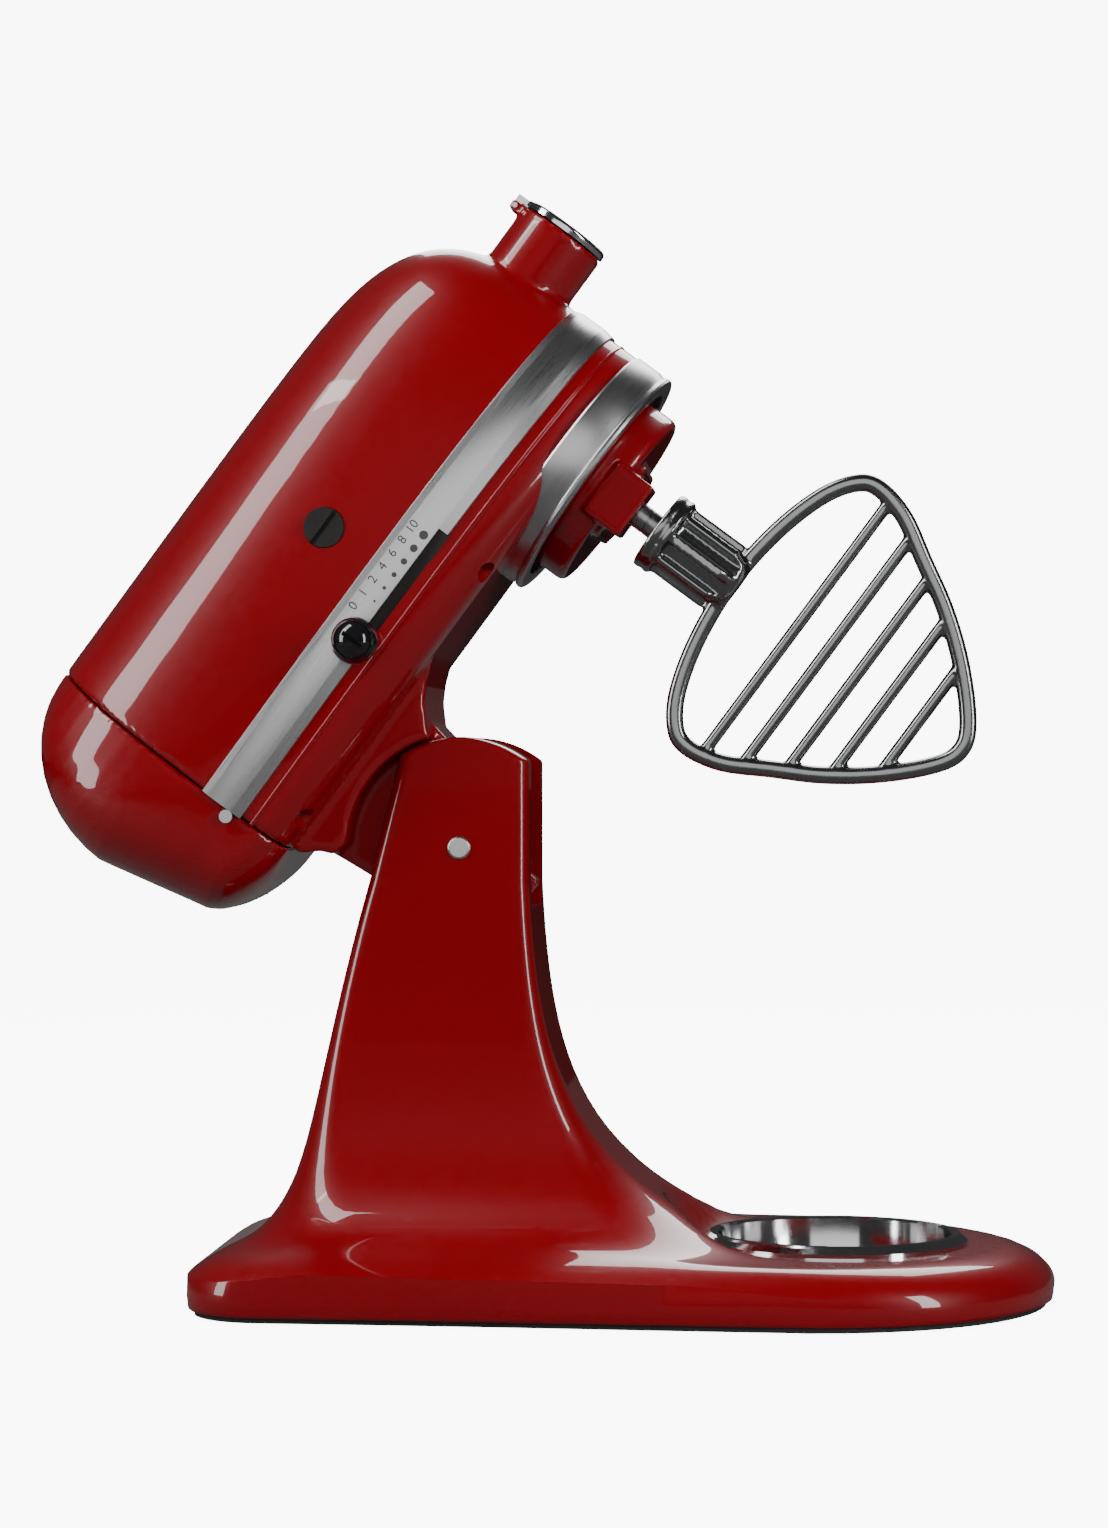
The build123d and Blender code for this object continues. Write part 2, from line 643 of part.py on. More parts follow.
with BuildPart() as end_cover:
    loft([cover_section(v) for v in cover_levels])
    loft([cover_section(v, shell_wall) for v in [58.0] + cover_levels[2:-2] + [168.6]],
         mode=Mode.SUBTRACT)
    rear_u = seam_u - gap - cover_reach(cover_screw_v)
    rod(across(rear_u + 1.0, 0, cover_screw_v), cover_boss_radius, seam_u - gap - rear_u - 1.0)
    rod(across(rear_u - 4.0, 0, cover_screw_v), 2.0, 80.0, Mode.SUBTRACT)
    rod(across(rear_u - 4.0, 0, cover_screw_v), 4.2, 8.0, Mode.SUBTRACT)
    rod(level(50.0, gland_u, gland_y), 7.0, 14.0, Mode.SUBTRACT)
    for facing in (-1, 1):
        block(Plane(head_point(band_screw_u, facing * 46.0, band_screw_v), head_forward, (0, facing, 0)),
              5.4, 9.0, 11.6)
        rod(Plane(head_point(band_screw_u, facing * 40.0, band_screw_v), head_forward, (0, facing, 0)),
            1.5, 22.0, Mode.SUBTRACT)
save(end_cover, "end_cover")

with BuildPart() as trim_band:
    extrude(blunt_section(band_low, head_half_width + band_thickness, nose_u + band_thickness,
                          seam_u - 0.6, 2.5), amount=band_high - band_low)
    extrude(blunt_section(band_low, head_half_width, nose_u, seam_u - 0.6, 2.5),
            amount=band_high - band_low, mode=Mode.SUBTRACT)
    block(across(seam_u - 5.0, 0, (band_low + band_high) / 2), 112.0, 40.0, 5.0, Mode.SUBTRACT)
    with BuildSketch(beside(-50.0, (lever_u + lever_slot_end) / 2 - 2.0, lever_v)):
        SlotOverall(lever_slot_end - lever_u + 4.0 + 2 * lever_slot_half, 2 * lever_slot_half)
    extrude(amount=20.0, mode=Mode.SUBTRACT)
save(trim_band, "trim_band")

with BuildPart() as trim_band_screws:
    for facing in (-1, 1):
        rod(Plane(head_point(band_screw_u, facing * 46.0, band_screw_v), head_forward, (0, facing, 0)),
            1.5, 12.0)
        rod(Plane(head_point(band_screw_u, facing * 57.8, band_screw_v), head_forward, (0, facing, 0)),
            2.6, 2.0)
save(trim_band_screws, "trim_band_screws")

with BuildPart() as case_screws:
    for u, y in case_screw_places:
        rod(level(58.4, u, y), 3.8, 3.6)
        rod(level(62.0, u, y), 2.0, 27.0)
        block(level(58.4, u, y), 6.0, 1.0, 1.2, Mode.SUBTRACT)
save(case_screws, "case_screws")

with BuildPart() as end_cover_screw:
    rod(across(rear_u + 1.2, 0, cover_screw_v), 3.8, 2.8)
    rod(across(rear_u + 4.0, 0, cover_screw_v), 2.0, seam_u + 8.0 - rear_u - 4.0)
    block(across(rear_u + 1.2, 0, cover_screw_v), 6.0, 1.0, 1.0, Mode.SUBTRACT)
save(end_cover_screw, "end_cover_screw")


# ---------------------------------------------------------------- motor
with BuildPart() as stator_core:
    with BuildSketch(across(stator_u, 0, motor_v)) as lamination:
        Circle(stator_radius - 0.1)
        Circle(stator_bore, mode=Mode.SUBTRACT)
        with PolarLocations(34.5, 2, start_angle=90):
            Rectangle(7.0, 32.0, mode=Mode.SUBTRACT)
    extrude(amount=stator_length)
save(stator_core, "stator_core")

with BuildPart() as stator_coils:
    for end_u in (stator_u - 7.0, stator_u + stator_length):
        with BuildSketch(across(end_u, 0, motor_v)):
            for turn in (90, -90):
                with Locations(Location((0, 0), turn)):
                    with Locations((34.0, 0)):
                        RectangleRounded(11.0, 42.0, 5.0)
        extrude(amount=7.0)
    with BuildSketch(across(stator_u, 0, motor_v)):
        with PolarLocations(34.5, 2, start_angle=90):
            Rectangle(6.8, 31.6)
    extrude(amount=stator_length)
save(stator_coils, "stator_coils")

worm_root = worm_radius - 1.5
worm_tip = worm_radius + 1.2


def worm_face(plane, phase):
    """Section of the worm: a tooth for each start, with arcs on its tip and root."""
    pitch = 360.0 / worm_starts
    tip_half = 0.10 * pitch
    root_half = 0.30 * pitch

    def at(radius, turn):
        return (radius * cos(radians(turn)), radius * sin(radians(turn)))

    with BuildSketch(plane) as face:
        with BuildLine():
            for start in range(worm_starts):
                middle = phase + start * pitch
                ThreePointArc(at(worm_tip, middle - tip_half), at(worm_tip, middle),
                              at(worm_tip, middle + tip_half))
                Line(at(worm_tip, middle + tip_half), at(worm_root, middle + root_half))
                ThreePointArc(at(worm_root, middle + root_half), at(worm_root, middle + pitch / 2),
                              at(worm_root, middle + pitch - root_half))
                Line(at(worm_root, middle + pitch - root_half), at(worm_tip, middle + pitch - tip_half))
        make_face()
    return face.sketch.faces()[0]


def gear_face(plane, teeth, module, outward=1.0, inward=1.25, share=0.44, phase=0.0, bore=0.0):
    """Section of a gear with straight-sided teeth; share is the tooth's part of the pitch."""
    pitch_radius = module * teeth / 2
    half = 180.0 / teeth * share
    slope = degrees(0.364 * module / pitch_radius)
    tip_half = half - outward * slope
    root_half = half + inward * slope
    corners = []
    for tooth in range(teeth):
        middle = phase + tooth * 360.0 / teeth
        for radius, turn in (
            (pitch_radius - inward * module, middle - root_half),
            (pitch_radius + outward * module, middle - tip_half),
            (pitch_radius + outward * module, middle + tip_half),
            (pitch_radius - inward * module, middle + root_half),
        ):
            corners.append((radius * cos(radians(turn)), radius * sin(radians(turn))))
    with BuildSketch(plane) as face:
        with BuildLine():
            Polyline(*corners, close=True)
        make_face()
        if bore > 0:
            Circle(bore, mode=Mode.SUBTRACT)
    return face.sketch


# a gap of the worm faces the worm wheel at the height of the motor's axis
worm_phase = 60.0 - 360.0 * (wheel_u - worm_start_u) / worm_lead
worm_turn = 360.0 * worm_length / worm_lead
shaft_rear_u = seam_u + 3.0

with BuildPart() as armature_shaft:
    rod(across(shaft_rear_u, 0, motor_v), motor_shaft_radius, worm_start_u + worm_length + 3.0 - shaft_rear_u)
    add(Solid.extrude_linear_with_rotation(
        worm_face(across(worm_start_u, 0, motor_v), worm_phase),
        center=head_point(worm_start_u, 0, motor_v),
        normal=head_forward * worm_length,
        angle=worm_turn,
    ))
save(armature_shaft, "armature_shaft")

with BuildPart() as armature_core:
    with BuildSketch(across(stator_u + 2.0, 0, motor_v)):
        Circle(armature_radius)
        Circle(motor_shaft_radius, mode=Mode.SUBTRACT)
        with PolarLocations(armature_radius - 4.0, 12):
            SlotOverall(9.0, 3.2, mode=Mode.SUBTRACT)
    extrude(amount=stator_length - 4.0)
save(armature_core, "armature_core")

with BuildPart() as commutator:
    tube(across(commutator_u - 9.0, 0, motor_v), commutator_radius, motor_shaft_radius, 17.0)
    with BuildSketch(across(commutator_u - 9.0, 0, motor_v)):
        with PolarLocations(commutator_radius, 24):
            Rectangle(2.0, 0.7)
    extrude(amount=14.0, mode=Mode.SUBTRACT)
save(commutator, "commutator")

with BuildPart() as cooling_fan:
    fan_u = stator_u - 20.0
    tube(across(fan_u, 0, motor_v), 9.0, motor_shaft_radius, 10.0)
    tube(across(fan_u, 0, motor_v), fan_radius - 3.0, motor_shaft_radius + 1.0, 2.0)
    with BuildSketch(across(fan_u, 0, motor_v)):
        with PolarLocations((fan_radius + 9.0) / 2, 12):
            Rectangle(fan_radius - 9.0, 1.8, rotation=14.0)
    extrude(amount=10.0)
save(cooling_fan, "cooling_fan")

rear_bearing_u = seam_u + 4.0
front_bearing_u = worm_start_u - bearing_length - 4.0

with BuildPart() as rear_bearing:
    tube(across(rear_bearing_u, 0, motor_v), bearing_radius, motor_shaft_radius + fit, bearing_length)
save(rear_bearing, "rear_bearing")

with BuildPart() as front_bearing:
    tube(across(front_bearing_u, 0, motor_v), bearing_radius, motor_shaft_radius + fit, bearing_length)
save(front_bearing, "front_bearing")

with BuildPart() as rear_bearing_bracket:
    bracket_low = cover_screw_v - 6.0
    bracket_high = motor_v + 15.0
    block(across(rear_bearing_u, 0, (bracket_low + bracket_high) / 2), 101.0,
          bracket_high - bracket_low, bearing_length)
    rod(across(rear_bearing_u, 0, motor_v), bearing_radius, bearing_length, Mode.SUBTRACT)
    rod(across(rear_bearing_u, 0, cover_screw_v), 2.0, bearing_length, Mode.SUBTRACT)
    with BuildSketch(across(rear_bearing_u, 0, motor_v)):
        with Locations((-32.0, 0), (32.0, 0)):
            SlotOverall(30.0, 18.0)
    extrude(amount=bearing_length, mode=Mode.SUBTRACT)
save(rear_bearing_bracket, "rear_bearing_bracket")

holder_in = 20.0
holder_out = 57.5
with BuildPart() as brush_holders:
    for facing in (-1, 1):
        out = (0, facing, 0)
        tube(Plane(head_point(commutator_u, facing * holder_in, brush_v), head_forward, out),
             7.6, 5.0, holder_out - holder_in)
save(brush_holders, "brush_holders")

with BuildPart() as carbon_brushes:
    for facing in (-1, 1):
        out = (0, facing, 0)
        block(Plane(head_point(commutator_u, facing * (commutator_radius - 0.5), brush_v), head_forward, out),
              8.0, 5.6, 24.0)
    rod(across(commutator_u - 9.0, 0, motor_v), commutator_radius + fit, 17.0, Mode.SUBTRACT)
save(carbon_brushes, "carbon_brushes")

brush_spring_turns = 5
with BuildPart() as brush_springs:
    for facing in (-1, 1):
        for turn in range(brush_spring_turns):
            start = commutator_radius - 0.5 + 24.0 + turn * 3.6
            tube(Plane(head_point(commutator_u, facing * start, brush_v), head_forward, (0, facing, 0)),
                 3.6, 2.4, 2.2)
            if turn < brush_spring_turns - 1:
                block(Plane(head_point(commutator_u + 3.0, facing * start, brush_v), head_forward,
                            (0, facing, 0)), 1.0, 1.0, 3.7)
save(brush_springs, "brush_springs")

cap_face = 61.6
with BuildPart() as brush_caps:
    for facing in (-1, 1):
        out = (0, facing, 0)
        rod(Plane(head_point(commutator_u, facing * 57.6, brush_v), head_forward, out), 7.9, cap_face - 57.6)
        block(Plane(head_point(commutator_u, facing * (cap_face - 1.4), brush_v), head_forward, out),
              15.8, 1.8, 1.4, Mode.SUBTRACT)
save(brush_caps, "brush_caps")

# ---------------------------------------------------------------- gear train
wheel_twist = degrees(worm_lead / (2 * 3.14159265 * worm_radius) * worm_wheel_face / worm_wheel_radius)
wheel_low = motor_v - worm_wheel_face / 2
bracket_v = 127.5
bracket_thickness = 6.0

with BuildPart() as worm_wheel:
    add(Solid.extrude_linear_with_rotation(
        gear_face(level(wheel_low, wheel_u, wheel_y), worm_teeth, worm_pitch / 3.14159265, 0.8, 1.2,
                  0.36, -90.0 - wheel_twist / 2).faces()[0],
        center=head_point(wheel_u, wheel_y, wheel_low),
        normal=head_up * worm_wheel_face,
        angle=wheel_twist,
    ))
    rod(level(wheel_low - 1.0, wheel_u, wheel_y), wheel_bore, worm_wheel_face + 2.0, Mode.SUBTRACT)
save(worm_wheel, "worm_wheel")

to_wheel = degrees(atan2(wheel_y, wheel_u - bowl_reach))
with BuildPart() as pinion_shaft:
    rod(level(pinion_shaft_low, wheel_u, wheel_y), wheel_bore, bracket_v + 5.0 - pinion_shaft_low)
    extrude(gear_face(level(centre_gear_v - 1.0, wheel_u, wheel_y), pinion_teeth, gear_module,
                      0.9, 1.2, 0.42, to_wheel + 180.0 + 180.0 / pinion_teeth),
            amount=centre_gear_face + 2.0)
save(pinion_shaft, "pinion_shaft")

with BuildPart() as centre_gear:
    extrude(gear_face(level(centre_gear_v, bowl_reach), centre_teeth, gear_module, 0.9, 1.2, 0.42,
                      to_wheel, shaft_radius), amount=centre_gear_face)
    bevel_shrink = 1.0 - bevel_face / (hub_v - bevel_v)
    bevel_outer = gear_face(level(bevel_v, bowl_reach), bevel_teeth, bevel_module, 0.7, 1.1, 0.36)
    bevel_inner = gear_face(level(bevel_v + bevel_face, bowl_reach), bevel_teeth,
                            bevel_module * bevel_shrink, 0.7, 1.1, 0.36)
    loft([bevel_outer, bevel_inner], ruled=True)
    rod(level(bevel_v - bevel_step, bowl_reach), bevel_module * (bevel_teeth / 2 - 1.1), bevel_step)
    rod(level(bevel_v - bevel_step, bowl_reach), shaft_radius, bevel_step + bevel_face, Mode.SUBTRACT)
save(centre_gear, "centre_gear")

square_bore = 9.6
with BuildPart() as hub_gear:
    hub_face = bevel_face * bevel_teeth / hub_teeth
    hub_shrink = 1.0 - hub_face / (hub_gear_u - bowl_reach)
    hub_outer = gear_face(across(hub_gear_u, 0, hub_v), hub_teeth, bevel_module, 0.5, 1.1, 0.28,
                          -90.0 + 180.0 / hub_teeth)
    hub_inner = gear_face(across(hub_gear_u - hub_face, 0, hub_v), hub_teeth, bevel_module * hub_shrink,
                          0.5, 1.1, 0.28, -90.0 + 180.0 / hub_teeth)
    loft([hub_outer, hub_inner], ruled=True)
    rod(across(hub_gear_u, 0, hub_v), 9.0, 30.0)
    block(across(hub_gear_u + 6.0, 0, hub_v), square_bore, square_bore, 24.0, Mode.SUBTRACT)
save(hub_gear, "hub_gear")

bushing_u = hub_gear_u + 6.0
with BuildPart() as hub_bushing:
    tube(across(bushing_u, 0, hub_v), hub_bore_radius, 9.0 + fit, 12.0)
save(hub_bushing, "hub_bushing")

with BuildPart() as planetary_shaft:
    rod(level(planetary_low + 3.0, bowl_reach), shaft_radius, bracket_v + 5.0 - planetary_low - 3.0)
save(planetary_shaft, "planetary_shaft")

with BuildPart() as planetary_bushing:
    tube(level(skirt_low, bowl_reach), shaft_radius + 3.0, shaft_radius + fit, 22.0)
save(planetary_bushing, "planetary_bushing")

bracket_posts = [(100.0, -38.0, 57.0), (122.0, -41.0, skirt_low + 4.0), (84.0, 43.0, 57.0)]
with BuildPart() as gear_bracket:
    with BuildSketch(level(bracket_v, 0, 0)):
        Polygon((79, -12), (92, -45), (126, -45), (158, -12), (158, 12), (132, 42), (90, 51), (79, 51),
                align=None)
    extrude(amount=bracket_thickness)
    fillet(gear_bracket.edges().filter_by(lambda edge: abs(edge.tangent_at(0.5).dot(head_up)) > 0.99),
           radius=4.0)
    for u, y, low in bracket_posts:
        rod(level(low, u, y), 4.5, bracket_v - low)
    block(level(57.0, front_bearing_u + bearing_length / 2), bearing_length, 25.0, bracket_v - 57.0)
    rod(across(front_bearing_u, 0, motor_v), bearing_radius, bearing_length, Mode.SUBTRACT)
    rod(level(bracket_v, wheel_u, wheel_y), wheel_bore + fit, bracket_thickness, Mode.SUBTRACT)
    rod(level(bracket_v, bowl_reach), shaft_radius + fit, bracket_thickness, Mode.SUBTRACT)
    for u, y, low in bracket_posts:
        rod(level(bracket_v - 20.0, u, y), 2.0, 20.0 + bracket_thickness, Mode.SUBTRACT)
save(gear_bracket, "gear_bracket")

with BuildPart() as gear_bracket_screws:
    for u, y, low in bracket_posts:
        rod(level(bracket_v - 18.0, u, y), 2.0, 18.0 + bracket_thickness)
        rod(level(bracket_v + bracket_thickness, u, y), 4.0, 2.6)
        block(level(bracket_v + bracket_thickness + 1.6, u, y), 6.0, 1.0, 1.0, Mode.SUBTRACT)
save(gear_bracket_screws, "gear_bracket_screws")

# ---------------------------------------------------------------- planetary
with BuildPart() as internal_ring_gear:
    rod(level(ring_low, bowl_reach), drip_outer - 1.6, skirt_low - ring_low)
    extrude(gear_face(level(ring_low, bowl_reach), ring_teeth, gear_module, 1.25, 0.9, 0.58, -90.0),
            amount=ring_high - ring_low, mode=Mode.SUBTRACT)
    rod(level(ring_high, bowl_reach), 30.0, skirt_low - ring_high, Mode.SUBTRACT)
save(internal_ring_gear, "internal_ring_gear")

with BuildPart() as drip_ring:
    tube(level(drip_low, bowl_reach), drip_outer, drip_outer - 1.6, skirt_low - drip_low)
    tube(level(drip_low, bowl_reach), drip_outer - 0.4, planetary_radius + 6.0, 1.6)
save(drip_ring, "drip_ring")

socket_y = -centre_distance
with BuildPart() as planetary_casting:
    rod(level(planetary_low + 3.0, bowl_reach), planetary_radius, planetary_high - planetary_low - 3.0)
    with BuildSketch(level(planetary_low, bowl_reach)):
        SlotOverall(2 * planetary_radius - 1.2, 34.0)
    extrude(amount=4.0)
    block(level(socket_low, bowl_reach, socket_y), socket_side, socket_side, planetary_high - socket_low)
    rod(level(planetary_low, bowl_reach), shaft_radius, 30.0, Mode.SUBTRACT)
    rod(level(planetary_low, bowl_reach), 10.0, 5.0)
    rod(level(planetary_low + 3.0, bowl_reach), shaft_radius, 4.0, Mode.SUBTRACT)
    rod(level(socket_low - 1.0, bowl_reach, socket_y), beater_shaft_radius + fit, 40.0, Mode.SUBTRACT)
    rod(across(bowl_reach - 30.0, 0, planetary_low + 11.0), 2.5, 30.0, Mode.SUBTRACT)
save(planetary_casting, "planetary_casting")

with BuildPart() as planetary_pin:
    rod(across(bowl_reach - 30.0, 0, planetary_low + 11.0), 2.5, 30.0 - shaft_radius)
save(planetary_pin, "planetary_pin")

planet_low = ring_low + 0.4
with BuildPart() as beater_shaft:
    rod(level(beater_shaft_low, bowl_reach, socket_y), beater_shaft_radius,
        ring_high - gap - beater_shaft_low)
    rod(across(bowl_reach - 20.0, socket_y, cross_pin_v), cross_pin_radius, 40.0, Mode.SUBTRACT)
save(beater_shaft, "beater_shaft")

with BuildPart() as beater_pinion:
    extrude(gear_face(level(planet_low, bowl_reach, socket_y), planet_teeth, gear_module, 0.85, 1.2, 0.40,
                      -90.0, beater_shaft_radius), amount=ring_high - planet_low - 0.4)
save(beater_pinion, "beater_pinion")

with BuildPart() as beater_cross_pin:
    rod(across(bowl_reach - 9.5, socket_y, cross_pin_v), cross_pin_radius, 19.0)
save(beater_cross_pin, "beater_cross_pin")

spring_turns = 3
with BuildPart() as beater_spring:
    spring_low = collar_high + 0.6
    spring_pitch = (socket_low - spring_low - 1.2) / spring_turns
    for turn in range(spring_turns):
        v = spring_low + turn * spring_pitch
        tube(level(v, bowl_reach, socket_y), 7.4, beater_shaft_radius, 1.2)
        block(level(v, bowl_reach + 6.4, socket_y), 1.2, 1.2, spring_pitch + 0.6)
save(beater_spring, "beater_spring")

# ---------------------------------------------------------------- flat beater
beater_u = bowl_reach + 1.0


def beater_outline(inset):
    """Shield shape of the beater's frame: sloping shoulders, curved sides and a round tip."""
    half = beater_half_width - inset
    shoulder = beater_shoulder_v
    with BuildSketch(beside(socket_y + beater_thickness / 2)) as shield:
        with BuildLine():
            crown = (beater_u, -20.0 - inset)
            right = (beater_u + half, shoulder)
            left = (beater_u - half, shoulder)
            tip = (beater_u, beater_tip + inset)
            Spline(crown, (beater_u + 0.74 * half, -29.0 - inset), right,
                   tangents=[(1, -0.08), (0.05, -1)])
            Spline(right, (beater_u + 0.79 * half, -82.0), (beater_u + 0.5 * half, -114.0 + 0.4 * inset), tip,
                   tangents=[(0.05, -1), (-1, 0)])
            Spline(tip, (beater_u - 0.5 * half, -114.0 + 0.4 * inset), (beater_u - 0.79 * half, -82.0), left,
                   tangents=[(-1, 0), (0.05, 1)])
            Spline(left, (beater_u - 0.74 * half, -29.0 - inset), crown, tangents=[(0.05, 1), (1, 0.08)])
        make_face()
    return shield.sketch


bar_vs = [first_bar_v - index * bar_pitch for index in range(beater_bars)]
with BuildPart() as beater_rim:
    extrude(beater_outline(0.0), amount=beater_thickness)
    extrude(beater_outline(beater_frame), amount=beater_thickness, mode=Mode.SUBTRACT)

with BuildPart() as flat_beater:
    # the bars are what is left of the shield's inside between the openings
    extrude(beater_outline(beater_frame - 1.0), amount=beater_thickness)
    for v, above in zip(bar_vs + [beater_tip - 20.0], [-10.0] + bar_vs):
        high = above - beater_bar_width / 2
        low = v + beater_bar_width / 2
        block(level(low, beater_u, socket_y), 160.0, 30.0, high - low, Mode.SUBTRACT)
    add(beater_rim.part)
    rod(level(collar_low, bowl_reach, socket_y), collar_radius, collar_high - collar_low)
    rod(level(-26.0, bowl_reach, socket_y), 11.5, collar_low + 26.0)
    for turn in range(4):
        with BuildSketch(level(-22.0, bowl_reach, socket_y)):
            Rectangle(30.0, 4.0, rotation=45.0 * turn)
        extrude(amount=collar_low + 22.0)
    rod(level(beater_shaft_low - 1.5, bowl_reach, socket_y), beater_shaft_radius + fit, 40.0, Mode.SUBTRACT)
    # slot that passes over the cross pin, with a pocket to one side that locks it
    block(level(cross_pin_v - cross_pin_radius - gap, bowl_reach, socket_y),
          22.0, 2 * (cross_pin_radius + gap), 20.0, Mode.SUBTRACT)
save(flat_beater, "flat_beater")

# ---------------------------------------------------------------- controls and small pieces
with BuildPart() as speed_knob:
    with Locations(head_point(lever_u, knob_y, lever_v + 1.2)):
        Sphere(knob_radius)
    rod(beside(knob_y + knob_radius, lever_u, lever_v), lever_rod_radius, knob_radius, Mode.SUBTRACT)
    block(beside(knob_y - knob_radius + 1.6, lever_u, lever_v + 1.2), 1.4, 9.0, 3.0, Mode.SUBTRACT)
save(speed_knob, "speed_knob")

slider_y = -40.0
slider_side = 8.0
rail_low = 66.0
rail_width = 5.0
with BuildPart() as speed_lever:
    rod(beside(slider_y, lever_u, lever_v), lever_rod_radius, slider_y - knob_y)
    block(beside(slider_y + slider_side / 2, lever_u, lever_v), slider_side, slider_side, slider_side)
save(speed_lever, "speed_lever")

switch_u = 70.0
switch_y = -26.0
with BuildPart() as speed_switch:
    block(level(57.0, switch_u, switch_y), 26.0, 16.0, 26.0)
    # rail under the lever's slider, fixed to the switch's body
    rail_high = lever_v - slider_side / 2 - gap
    rail_length = lever_travel + slider_side + 4.0
    block(level(rail_low, lever_u + lever_travel / 2, slider_y), rail_length, rail_width,
          rail_high - rail_low)
    block(level(rail_low - 4.0, switch_u, (slider_y + switch_y) / 2), 10.0, switch_y - slider_y,
          rail_high - rail_low + 4.0)
save(speed_switch, "speed_switch")

board_height = 44.0
board_thickness = 1.6
board_v = cover_screw_v + cover_boss_radius + board_height / 2
board_face_u = seam_u - 24.4
with BuildPart() as control_board:
    block(across(board_face_u - board_thickness, 0, board_v), 64.0, board_height, board_thickness)
    block(across(board_face_u, -14.0, board_v + 6.0), 18.0, 22.0, 9.0)
    for y in (8.0, 22.0):
        rod(across(board_face_u, y, board_v - 12.0), 5.0, 12.0)
    block(across(board_face_u, 14.0, board_v + 10.0), 26.0, 10.0, 5.0)
save(control_board, "control_board")

with BuildPart() as cord_gland:
    with BuildSketch(level(57.4, gland_u, gland_y)):
        Circle(7.0)
        Circle(3.6, mode=Mode.SUBTRACT)
    extrude(amount=9.0)
    with BuildSketch(level(66.4 - 4.0, gland_u, gland_y)):
        Circle(9.0)
        Circle(3.6, mode=Mode.SUBTRACT)
    extrude(amount=4.0)
save(cord_gland, "cord_gland")

with BuildPart() as hub_cover:
    rod(across(hub_end_u + 0.2, 0, hub_v), hub_radius, hub_cover_thickness)
    fillet(hub_cover.faces().sort_by(Axis(hinge, head_forward))[-1].edges(), radius=1.8)
    rod(beside(3.6, hub_ear_u, hub_pin_v), 2.2, 7.2)
    block(across(hub_ear_u, 0, hub_pin_v), 7.2, 3.2, hub_end_u + 1.2 - hub_ear_u)
    block(across(hub_end_u + 0.2, 0, hub_pin_v - 1.2), 7.2, 5.6, 2.4)
    rod(beside(8.0, hub_ear_u, hub_pin_v), hub_pin_radius + fit, 16.0, Mode.SUBTRACT)
save(hub_cover, "hub_cover")

with BuildPart() as hub_cover_pin:
    rod(beside(6.9, hub_ear_u, hub_pin_v), hub_pin_radius, 13.8)
save(hub_cover_pin, "hub_cover_pin")

with BuildPart() as attachment_knob:
    outward = (0, 1, 0)
    rod(Plane(head_point(knob_axis_u, hub_bore_radius + 0.4, hub_v), head_forward, outward), 4.0, 12.0)
    with BuildSketch(Plane(head_point(knob_axis_u, 21.6, hub_v), head_forward, outward)):
        Circle(11.0)
        with PolarLocations(11.6, 6):
            Circle(2.6, mode=Mode.SUBTRACT)
    extrude(amount=15.0)
    fillet(attachment_knob.faces().sort_by(Axis.Y)[-1].edges(), radius=1.2)
save(attachment_knob, "attachment_knob")
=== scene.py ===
"""The looks of a tilt-head stand mixer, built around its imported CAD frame.

The head is drawn in its own frame: u runs forward along the head, y across it and v up through
it, from the hinge, in millimetres. `head` turns such a point into the row's frame, in metres.
"""

import json
from math import atan2, cos, degrees, exp, hypot, log, pi, radians, sin, sqrt

import bmesh
import bpy
from mathutils import Matrix, Vector

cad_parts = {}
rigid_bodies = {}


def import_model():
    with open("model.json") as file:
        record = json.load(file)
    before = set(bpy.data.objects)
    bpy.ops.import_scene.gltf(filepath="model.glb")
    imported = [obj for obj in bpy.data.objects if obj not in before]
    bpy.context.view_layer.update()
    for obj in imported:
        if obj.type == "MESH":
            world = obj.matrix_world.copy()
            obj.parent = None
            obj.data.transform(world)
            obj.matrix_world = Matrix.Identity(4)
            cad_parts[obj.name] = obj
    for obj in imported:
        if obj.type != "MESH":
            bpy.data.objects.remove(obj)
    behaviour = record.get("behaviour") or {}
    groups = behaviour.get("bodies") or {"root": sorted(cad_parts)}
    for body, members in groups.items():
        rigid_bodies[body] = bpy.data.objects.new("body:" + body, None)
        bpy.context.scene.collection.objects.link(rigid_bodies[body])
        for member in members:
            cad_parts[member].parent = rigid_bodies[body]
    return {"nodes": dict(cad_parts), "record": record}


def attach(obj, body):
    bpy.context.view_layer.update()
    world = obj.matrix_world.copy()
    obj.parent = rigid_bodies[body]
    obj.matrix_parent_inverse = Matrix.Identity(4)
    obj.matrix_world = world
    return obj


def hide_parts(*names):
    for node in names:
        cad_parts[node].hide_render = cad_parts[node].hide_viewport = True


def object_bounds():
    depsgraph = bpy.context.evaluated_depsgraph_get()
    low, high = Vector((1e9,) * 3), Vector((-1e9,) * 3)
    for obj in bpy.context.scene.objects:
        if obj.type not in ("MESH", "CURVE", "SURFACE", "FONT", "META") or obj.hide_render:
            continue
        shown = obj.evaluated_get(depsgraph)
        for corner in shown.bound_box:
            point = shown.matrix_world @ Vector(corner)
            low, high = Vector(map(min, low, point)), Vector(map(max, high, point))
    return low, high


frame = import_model()
cad_box = [list(corner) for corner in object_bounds()]
nodes = frame["nodes"]
joints = {joint["name"]: joint for joint in frame["record"]["behaviour"]["joints"]}

MM = 0.001

# ---------------------------------------------------------------- frame of the head
tilt = radians(joints["head_tilt"]["range_deg"][1])
hinge = Vector(joints["head_tilt"]["pos_m"])
forward = Vector((cos(tilt), 0, sin(tilt)))
upward = Vector((-sin(tilt), 0, cos(tilt)))
sideways = Vector((0, 1, 0))


